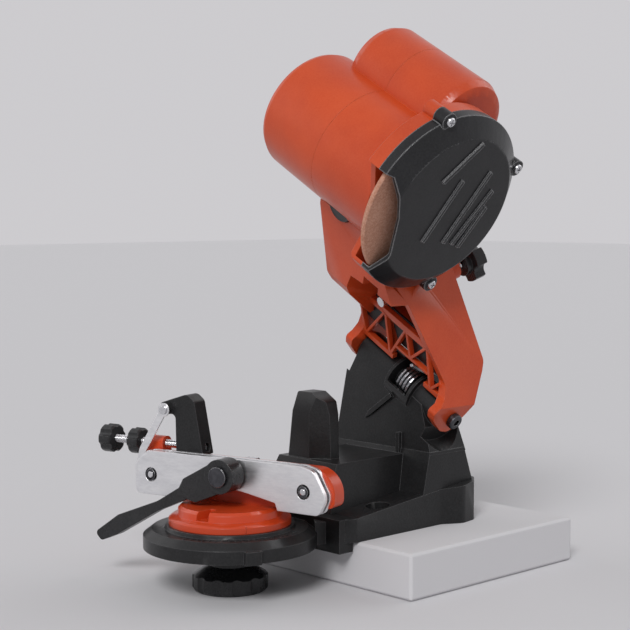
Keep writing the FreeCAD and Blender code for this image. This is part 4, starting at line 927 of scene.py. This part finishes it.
LAMINATED = Metal("laminated_steel", (0.42, 0.42, 0.44), 0.45, metallic=1.0,
                  dark=(0.2, 0.2, 0.21), stretch=(1400.0, 30.0, 30.0))
BRASS = Metal("turned_brass", (0.78, 0.56, 0.26), 0.3, metallic=1.0, dark=(0.5, 0.34, 0.14),
              stretch=(500.0, 500.0, 500.0))
WHEEL_GRIT = Grit("wheel_grit", (0.52, 0.24, 0.155), 0.9, specular=0.25)
RUBBER = Moulding("gland_rubber", (0.02, 0.02, 0.02), 0.7, specular=0.3,
                  shade=(0.012, 0.012, 0.012), glint_and_wear=(0.08, 0.08, 0.08))
FAN_GREY = Moulding("fan_plastic", (0.03, 0.03, 0.033), 0.5, shade=(0.02, 0.02, 0.022),
                    glint_and_wear=(0.1, 0.1, 0.1))


# Sub-assemblies


@dataclass
class SubAssembly:
    """A group of pieces on one or a few bodies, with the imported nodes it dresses."""

    nodes: dict[str, bpy.types.Object]

    def dress(self, finish: Finish, *names: str) -> None:
        """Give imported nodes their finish.

        Args:
            finish: The finish.
            *names: The nodes.
        """
        for name in names:
            for slot in self.nodes[name].material_slots:
                slot.material = finish.material()
            LOG.info("node %s has finish %s", name, finish.name)

    def rounded(self, name: str, width: float, body: Body, slot: Slot, finish: Finish,
                angle: float = SHARP_EDGE) -> None:
        """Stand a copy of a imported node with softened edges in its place.

        Args:
            name: The node.
            width: Greatest width of the rounding, in millimetres; the node's shortest edges can
                hold it far below that.
            body: The body that it rides on.
            slot: The record's material slot.
            finish: Its finish.
            angle: Least angle of an edge that is rounded or kept sharp, in degrees.
        """
        shell = Shaper(name + "_shell").node_copy(self.nodes[name])
        shell.soften(width, angle=angle).smooth(angle)
        shell.finish(PART_MM, body, slot, finish, [name])


@dataclass
class Base(SubAssembly):
    """Black moulded base in two pieces, the swivel scale, hinge bolt, washers and spring."""

    edge: float = 0.9
    bolt_edge: float = 0.5
    seat: float = 9.8
    mark_angles: range = range(-76, 25, 5)
    long_mark_angles: range = range(-76, 25, 15)
    mark_start: float = 40.4
    mark_end: float = 43.6
    long_mark_end: float = 45.4
    mark_width: float = 0.6
    mark_height: float = 0.35
    mark_root: float = 0.2
    mark_edge: float = 0.12

    def build(self) -> None:
        """Dress the base and build its visible pieces."""
        for name in ("base_frame", "base_tower"):
            self.rounded(name, self.edge, Body.BASE, Slot.BLACK_PLASTIC, BLACK)
        for name in ("hinge_bolt", "hinge_nut"):
            self.rounded(name, self.bolt_edge, Body.BASE, Slot.DARK_STEEL, BLACKENED)
        self.swivel_scale()
        self.dress(SPRING_STEEL, "return_spring")
        self.dress(BRIGHT, "hinge_washer_right", "hinge_washer_left")

    def marks(self, name: str, end: float, angles: Sequence[int]) -> Shaper:
        """Raised marks of one length round the platform.

        Args:
            name: The name of the marks.
            end: Distance of their outer end from the stud.
            angles: Their angles, in degrees.

        Returns:
            The marks under work, as one piece.
        """
        mark = Shaper(name).block((self.mark_start, -self.mark_width / 2, -self.mark_root),
                                  (end, self.mark_width / 2, self.mark_height))
        return mark.copies([turn_about(angle) for angle in angles])

    def swivel_scale(self) -> None:
        """Raised marks round the platform that the vise's angle is read from."""
        short = [angle for angle in self.mark_angles if angle not in self.long_mark_angles]
        scale = self.marks("swivel_scale", self.long_mark_end, self.long_mark_angles)
        scale.with_piece(self.marks("short_marks", self.mark_end, short))
        scale.soften(self.mark_edge).smooth()
        scale.finish(on_bench(self.seat), Body.BASE, Slot.BLACK_PLASTIC, BLACK)


@dataclass
class Vise(SubAssembly):
    """Orange vise with its plates, pins, lever, stud and clamp knob."""

    edge: float = 0.8
    plate_edge: float = 0.35
    lever_edge: float = 1.2
    bolt_edge: float = 0.5
    nut_edge: float = 0.4
    pin_edge: float = 0.45
    pin_places: Sequence[tuple[str, float]] = (("left", -54.0), ("right", 54.0))
    pin_height: float = 36.0
    pin_front: float = -6.1
    pin_centre: Sequence[Point] = ((1.9, -0.9), (1.9, 0.05), (1.6, 0.3), (0.9, 0.42))
    pin_sides: int = 28
    index_angle: float = -26.0
    index_low: Place = (35.5, -0.45, 12.9)
    index_high: Place = (36.4, 0.45, 16.4)
    index_edge: float = 0.2

    def build(self) -> None:
        """Dress the vise and build its visible pieces."""
        self.rounded("vise_body", self.edge, Body.VISE, Slot.ORANGE_PAINT, VISE_PAINT)
        self.rounded("rear_plate", self.plate_edge, Body.VISE, Slot.BARE_PLATE, PLATE)
        self.rounded("front_plate", self.plate_edge, Body.FRONT_PLATE, Slot.BARE_PLATE, PLATE)
        self.rounded("clamp_lever", self.lever_edge, Body.LEVER, Slot.BLACK_PLASTIC, KNOB_BLACK)
        self.rounded("clamp_knob", self.edge, Body.CLAMP_KNOB, Slot.BLACK_PLASTIC, KNOB_BLACK)
        self.rounded("draw_bolt", self.bolt_edge, Body.VISE, Slot.STEEL, BLACKENED)
        self.rounded("draw_nut", self.nut_edge, Body.VISE, Slot.STEEL, BRIGHT)
        for side, along in self.pin_places:
            self.guide_pin(side, along)
        self.index_line()
        self.dress(BRIGHT, "vise_stud", "stud_washer")
        self.dress(BRASS, "knob_insert")

    def guide_pin(self, side: str, along: float) -> None:
        """Dark pin with a bright centre.

        Args:
            side: left or right.
            along: Its place along the plates.
        """
        self.rounded("guide_pin_" + side, self.pin_edge, Body.VISE, Slot.STEEL, BLACKENED)
        centre = Shaper("guide_pin_centre_" + side).turned(self.pin_centre, self.pin_sides)
        centre.smooth(SOFT_CREASE).finish(
            on_plate(along, self.pin_front, self.pin_height), Body.VISE, Slot.STEEL, BRIGHT)

    def index_line(self) -> None:
        """Raised index line on the side of the vise's foot, over the scale."""
        line = Shaper("swivel_pointer").block(self.index_low, self.index_high)
        line.soften(self.index_edge).moved(turn_about(self.index_angle)).smooth()
        line.finish(on_bench(), Body.VISE, Slot.ORANGE_PAINT, VISE_PAINT)


@dataclass
class ChainStop(SubAssembly):
    """Stop rod with its knobs, the carrier on the jaw and the pawl."""

    edge: float = 0.7
    knob_edge: float = 0.8
    pawl_edge: float = 0.15
    pin_edge: float = 0.3
    rod_start: float = -98.5
    rod_length: float = 74.5
    rod_tip: float = 0.6
    collar_place: float = 30.8
    collar_width: float = 1.5
    collar_radius: float = 3.9
    core: float = 2.05
    thread: Thread = Thread(1.95, 2.5, 6.0, 53)

    def build(self) -> None:
        """Dress the chain stop and build its visible pieces."""
        self.rounded("stop_carrier", self.edge, Body.CARRIER, Slot.BLACK_PLASTIC, BLACK)
        self.rounded("stop_knob", self.knob_edge, Body.STOP_ROD, Slot.BLACK_PLASTIC, KNOB_BLACK)
        self.rounded("lock_knob", self.edge, Body.LOCK_KNOB, Slot.BLACK_PLASTIC, KNOB_BLACK)
        self.rounded("chain_pawl", self.pawl_edge, Body.PAWL, Slot.BARE_PLATE, PLATE)
        self.threaded_rod()
        self.rounded("pawl_pin", self.pin_edge, Body.CARRIER, Slot.STEEL, BRIGHT)
        self.dress(BRIGHT, "pawl_spring")

    def threaded_rod(self) -> None:
        """Stop rod with its thread and collar."""
        collar_end = self.collar_place + self.collar_width
        rod = Shaper("stop_rod_thread").turned(
            [(self.core, 0.0), (self.core, self.collar_place),
             (self.collar_radius, self.collar_place), (self.collar_radius, collar_end),
             (self.core, collar_end), (self.core, self.rod_length - self.rod_tip),
             (self.core - self.rod_tip, self.rod_length)])
        rod.with_piece(Shaper("ridge").ridge(self.thread)).smooth(SOFT_CREASE)
        rod.finish(on_rod(self.rod_start), Body.STOP_ROD, Slot.STEEL, BRIGHT, ["stop_rod"])


@dataclass
class Head(SubAssembly):
    """Orange head with the motor housing, the power button and the depth stop."""

    edge: float = 0.9
    gland_edge: float = 0.6
    cap_face: float = -119.0
    slot_low: Place = (15.0, -1.3, -1.0)
    slot_high: Place = (27.5, 1.3, 2.2)
    slot_edge: float = 1.1
    slot_angles: range = range(18, 239, 22)
    screw: CrossScrew = CrossScrew(1.4, 1.0, 2.7, 1.5)
    screw_reach: float = 30.6
    screw_angles: range = range(5, 360, 90)
    facing_front: float = -0.8
    button_rim: float = 1.3
    button_sink: float = 0.5
    button_edge: float = 0.45
    stop_profile: Sequence[Point] = ((1.37, 2.1), (1.37, 5.1), (2.75, 5.1), (2.75, 19.5),
                                     (2.3, 20.2), (2.3, 75.0))
    stop_thread: Thread = Thread(2.2, 2.75, 20.5, 34)

    def build(self) -> None:
        """Dress the head and build its visible pieces."""
        for name in ("head_frame", "housing_front"):
            self.rounded(name, self.edge, Body.HEAD, Slot.ORANGE_PLASTIC, ORANGE)
        self.end_cap()
        self.cap_screws()
        self.button()
        self.depth_stop()
        self.rounded("depth_knob", self.edge, Body.DEPTH_SCREW, Slot.BLACK_PLASTIC, KNOB_BLACK)
        self.rounded("cord_gland", self.gland_edge, Body.HEAD, Slot.RUBBER, RUBBER)
        # fork_panel is a black sheet behind the fork's lattice: painted shade, standing in for the
        # shaded inside of the fork.
        self.dress(BLACK, "fork_panel")
        self.dress(BRIGHT, "depth_tip", "rear_bearing", "front_bearing", "motor_shaft")
        self.dress(LAMINATED, "stator", "rotor")
        self.dress(BRASS, "upper_brush", "lower_brush", "commutator")
        self.dress(FAN_GREY, "fan")

    def end_cap(self) -> None:
        """End cap with a fan of cooling slots sunk into its end."""
        cap = Shaper("end_cap_shell").node_copy(self.nodes["end_cap"]).soften(self.edge)
        slots = Shaper("slots").block(self.slot_low, self.slot_high)
        slots.soften(self.slot_edge, segments=3)
        slots.copies([turn_about(angle) for angle in self.slot_angles])
        place = PART_MM.inverted() @ on_axle(self.cap_face, *HOUSING_CENTRE)
        cap.carve(slots.moved(place)).smooth(SOFT_CREASE)
        cap.finish(PART_MM, Body.HEAD, Slot.ORANGE_PLASTIC, ORANGE, ["end_cap"])

    def cap_screws(self) -> None:
        """Four screws that hold the end cap on."""
        screw = self.screw.make("cap_screws")
        screw.moved(Matrix.Translation((self.screw_reach, 0.0, 0.0)) @ turn_about(180.0, "X"))
        screw.copies([turn_about(angle) for angle in self.screw_angles]).smooth(SHARP_EDGE)
        screw.finish(on_axle(self.cap_face, *HOUSING_CENTRE), Body.HEAD, Slot.STEEL, BLACKENED)

    def button(self) -> None:
        """Half-moon button with a sunk face."""
        button = Shaper("power_button_shell").node_copy(self.nodes["power_button"])
        button.pick_faces(lambda middle, normal: normal.y < self.facing_front)
        button.inset(self.button_rim, -self.button_sink).done()
        button.soften(self.button_edge).smooth(SOFT_CREASE)
        button.finish(PART_MM, Body.BUTTON, Slot.BLACK_PLASTIC, SPRUNG_BLACK, ["power_button"])

    def depth_stop(self) -> None:
        """Depth-stop screw: plain and bright in front, threaded towards its knob."""
        shank = Shaper("depth_screw_thread").turned(self.stop_profile)
        shank.with_piece(Shaper("ridge").ridge(self.stop_thread)).smooth(SOFT_CREASE)
        shank.finish(on_stop(), Body.DEPTH_SCREW, Slot.STEEL, BRIGHT, ["depth_screw"])


@dataclass
class Guard(SubAssembly):
    """Wheel, its flanges, the orange guard and the black ribbed cover with its screws."""

    edge: float = 0.7
    cover_edge: float = 0.42
    cover_crease: float = 16.0
    steel_edge: float = 0.4
    screw: CrossScrew = CrossScrew(1.5, 13.5, 3.0, 2.0)
    screw_reach: float = 57.8
    screw_seat: float = 5.55
    screw_angles: Sequence[tuple[str, float]] = (("top", 114.0), ("right", 26.0), ("bottom", -69.0))

    def build(self) -> None:
        """Dress the guard and the wheel and build their visible pieces."""
        self.rounded("guard_back", self.edge, Body.HEAD, Slot.ORANGE_PLASTIC, ORANGE)
        self.rounded("guard_cover", self.cover_edge, Body.HEAD, Slot.BLACK_PLASTIC, COVER_BLACK,
                     self.cover_crease)
        for side, angle in self.screw_angles:
            self.cover_screw(side, math.radians(angle))
        self.dress(WHEEL_GRIT, "grinding_wheel")
        for name in ("inner_flange", "outer_flange", "spindle_nut"):
            self.rounded(name, self.steel_edge, Body.SPINDLE, Slot.STEEL, BRIGHT)

    def cover_screw(self, side: str, angle: float) -> None:
        """One screw of the cover.

        Args:
            side: Which of the three.
            angle: Its angle about the wheel's axis, in radians.
        """
        place = on_axle(self.screw_seat, WHEEL_Y + self.screw_reach * math.cos(angle),
                        WHEEL_RISE + self.screw_reach * math.sin(angle))
        self.screw.make("cover_screw_" + side).finish(place, Body.HEAD, Slot.STEEL, BRIGHT,
                                                      ["guard_screw_" + side])


# Studio


@dataclass
class Studio:
    """Pale floor, bench slab under the base, soft suns and the camera."""

    floor_width: float = 14.0
    floor_height: float = -27.7
    slab_low: Place = (-95.0, 54.0, -27.5)
    slab_high: Place = (95.0, 204.0, 0.0)
    slab_edge: float = 2.0
    slab_drop: float = 0.1
    pale: Colour = (0.66, 0.65, 0.67)
    pale_roughness: float = 0.85
    pale_specular: float = 0.1
    world_seen: Colour = (0.61, 0.60, 0.62)
    world_light: Colour = (0.3332, 0.3366, 0.34)
    suns: Sequence[tuple[str, Place, float, float]] = (
        ("key", (0.75, -1.2, 1.15), 1.65, 20.0), ("side", (-1.2, -0.6, 0.7), 0.45, 45.0),
        ("back", (0.3, 1.2, 1.0), 0.5, 45.0))
    camera_place: Place = (0.6608, -0.6382, 0.1966)
    camera_forward: Place = (-0.7235, 0.6865, -0.0723)
    lens: float = 85.0

    def build(self) -> None:
        """Set up the floor, the slab, the light and the camera."""
        self.floor()
        self.slab()
        self.world()
        for name, place, strength, spread in self.suns:
            data = bpy.data.lights.new("sun_" + name, "SUN")
            data.energy, data.angle = strength, math.radians(spread)
            self.aim(data, place, -Vector(place))
        data = bpy.data.cameras.new("camera")
        data.lens = self.lens
        bpy.context.scene.camera = self.aim(data, self.camera_place, Vector(self.camera_forward))
        bpy.context.scene.view_settings.view_transform = "Standard"

    def backdrop(self) -> bpy.types.Material:
        """Build the plain pale material of the floor and the slab at its first use.

        Returns:
            The material.
        """
        if "studio_pale" in bpy.data.materials:
            return bpy.data.materials["studio_pale"]
        material = bpy.data.materials.new("studio_pale")
        material.use_nodes = True
        tree = Tree(material.node_tree)
        tree.fill(material.node_tree.nodes["Principled BSDF"],
                  {"Base Color": (*self.pale, 1.0), "Roughness": self.pale_roughness,
                   "Specular IOR Level": self.pale_specular})
        return material

    def floor(self) -> None:
        """Large plain floor just under the clamp knob's bottom."""
        deselect_all()
        bpy.ops.mesh.primitive_plane_add(size=self.floor_width,
                                         location=(0, 0, self.floor_height * MILLIMETRE))
        floor = bpy.context.object
        floor.name = "studio_floor"
        floor.data.materials.append(self.backdrop())

    def slab(self) -> None:
        """Plain slab whose front edge the base's lip hooks over."""
        slab = Shaper("bench_slab").block(self.slab_low, self.slab_high)
        slab.soften(self.slab_edge, segments=3).smooth().moved(on_bench(-self.slab_drop))
        slab.piece.data.materials.append(self.backdrop())

    def world(self) -> None:
        """Even world that is paler where it is seen, straight or mirrored, than where it lights."""
        world = bpy.data.worlds.new("studio_world")
        bpy.context.scene.world = world
        world.use_nodes = True
        tree = Tree(world.node_tree)
        rays = tree.add("LightPath", {}).outputs
        mirrored = tree.math("MAXIMUM", rays["Is Glossy Ray"], rays["Is Transmission Ray"])
        shown = tree.math("MAXIMUM", rays["Is Camera Ray"], mirrored)
        tree.fill(world.node_tree.nodes["Background"],
                  {"Color": tree.blend(shown, self.world_light, self.world_seen)})

    def aim(self, data: bpy.types.ID, place: Place, forward: Vector) -> bpy.types.Object:
        """Set up a sun or a camera.

        Args:
            data: The sun or camera.
            place: Its place, in metres.
            forward: The direction that it faces.

        Returns:
            The object.
        """
        thing = bpy.data.objects.new(data.name, data)
        bpy.context.scene.collection.objects.link(thing)
        thing.location = place
        thing.rotation_mode = "QUATERNION"
        thing.rotation_quaternion = forward.to_track_quat("-Z", "Y")
        return thing


def main() -> None:
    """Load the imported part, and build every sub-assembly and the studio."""
    logging.basicConfig(level=logging.INFO, format="%(name)s: %(message)s")
    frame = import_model()
    for kind in (Base, Vise, ChainStop, Head, Guard):
        LOG.info("building %s", kind.__name__)
        kind(frame["nodes"]).build()
    Studio().build()
    deselect_all()


if __name__ == "__main__":
    main()
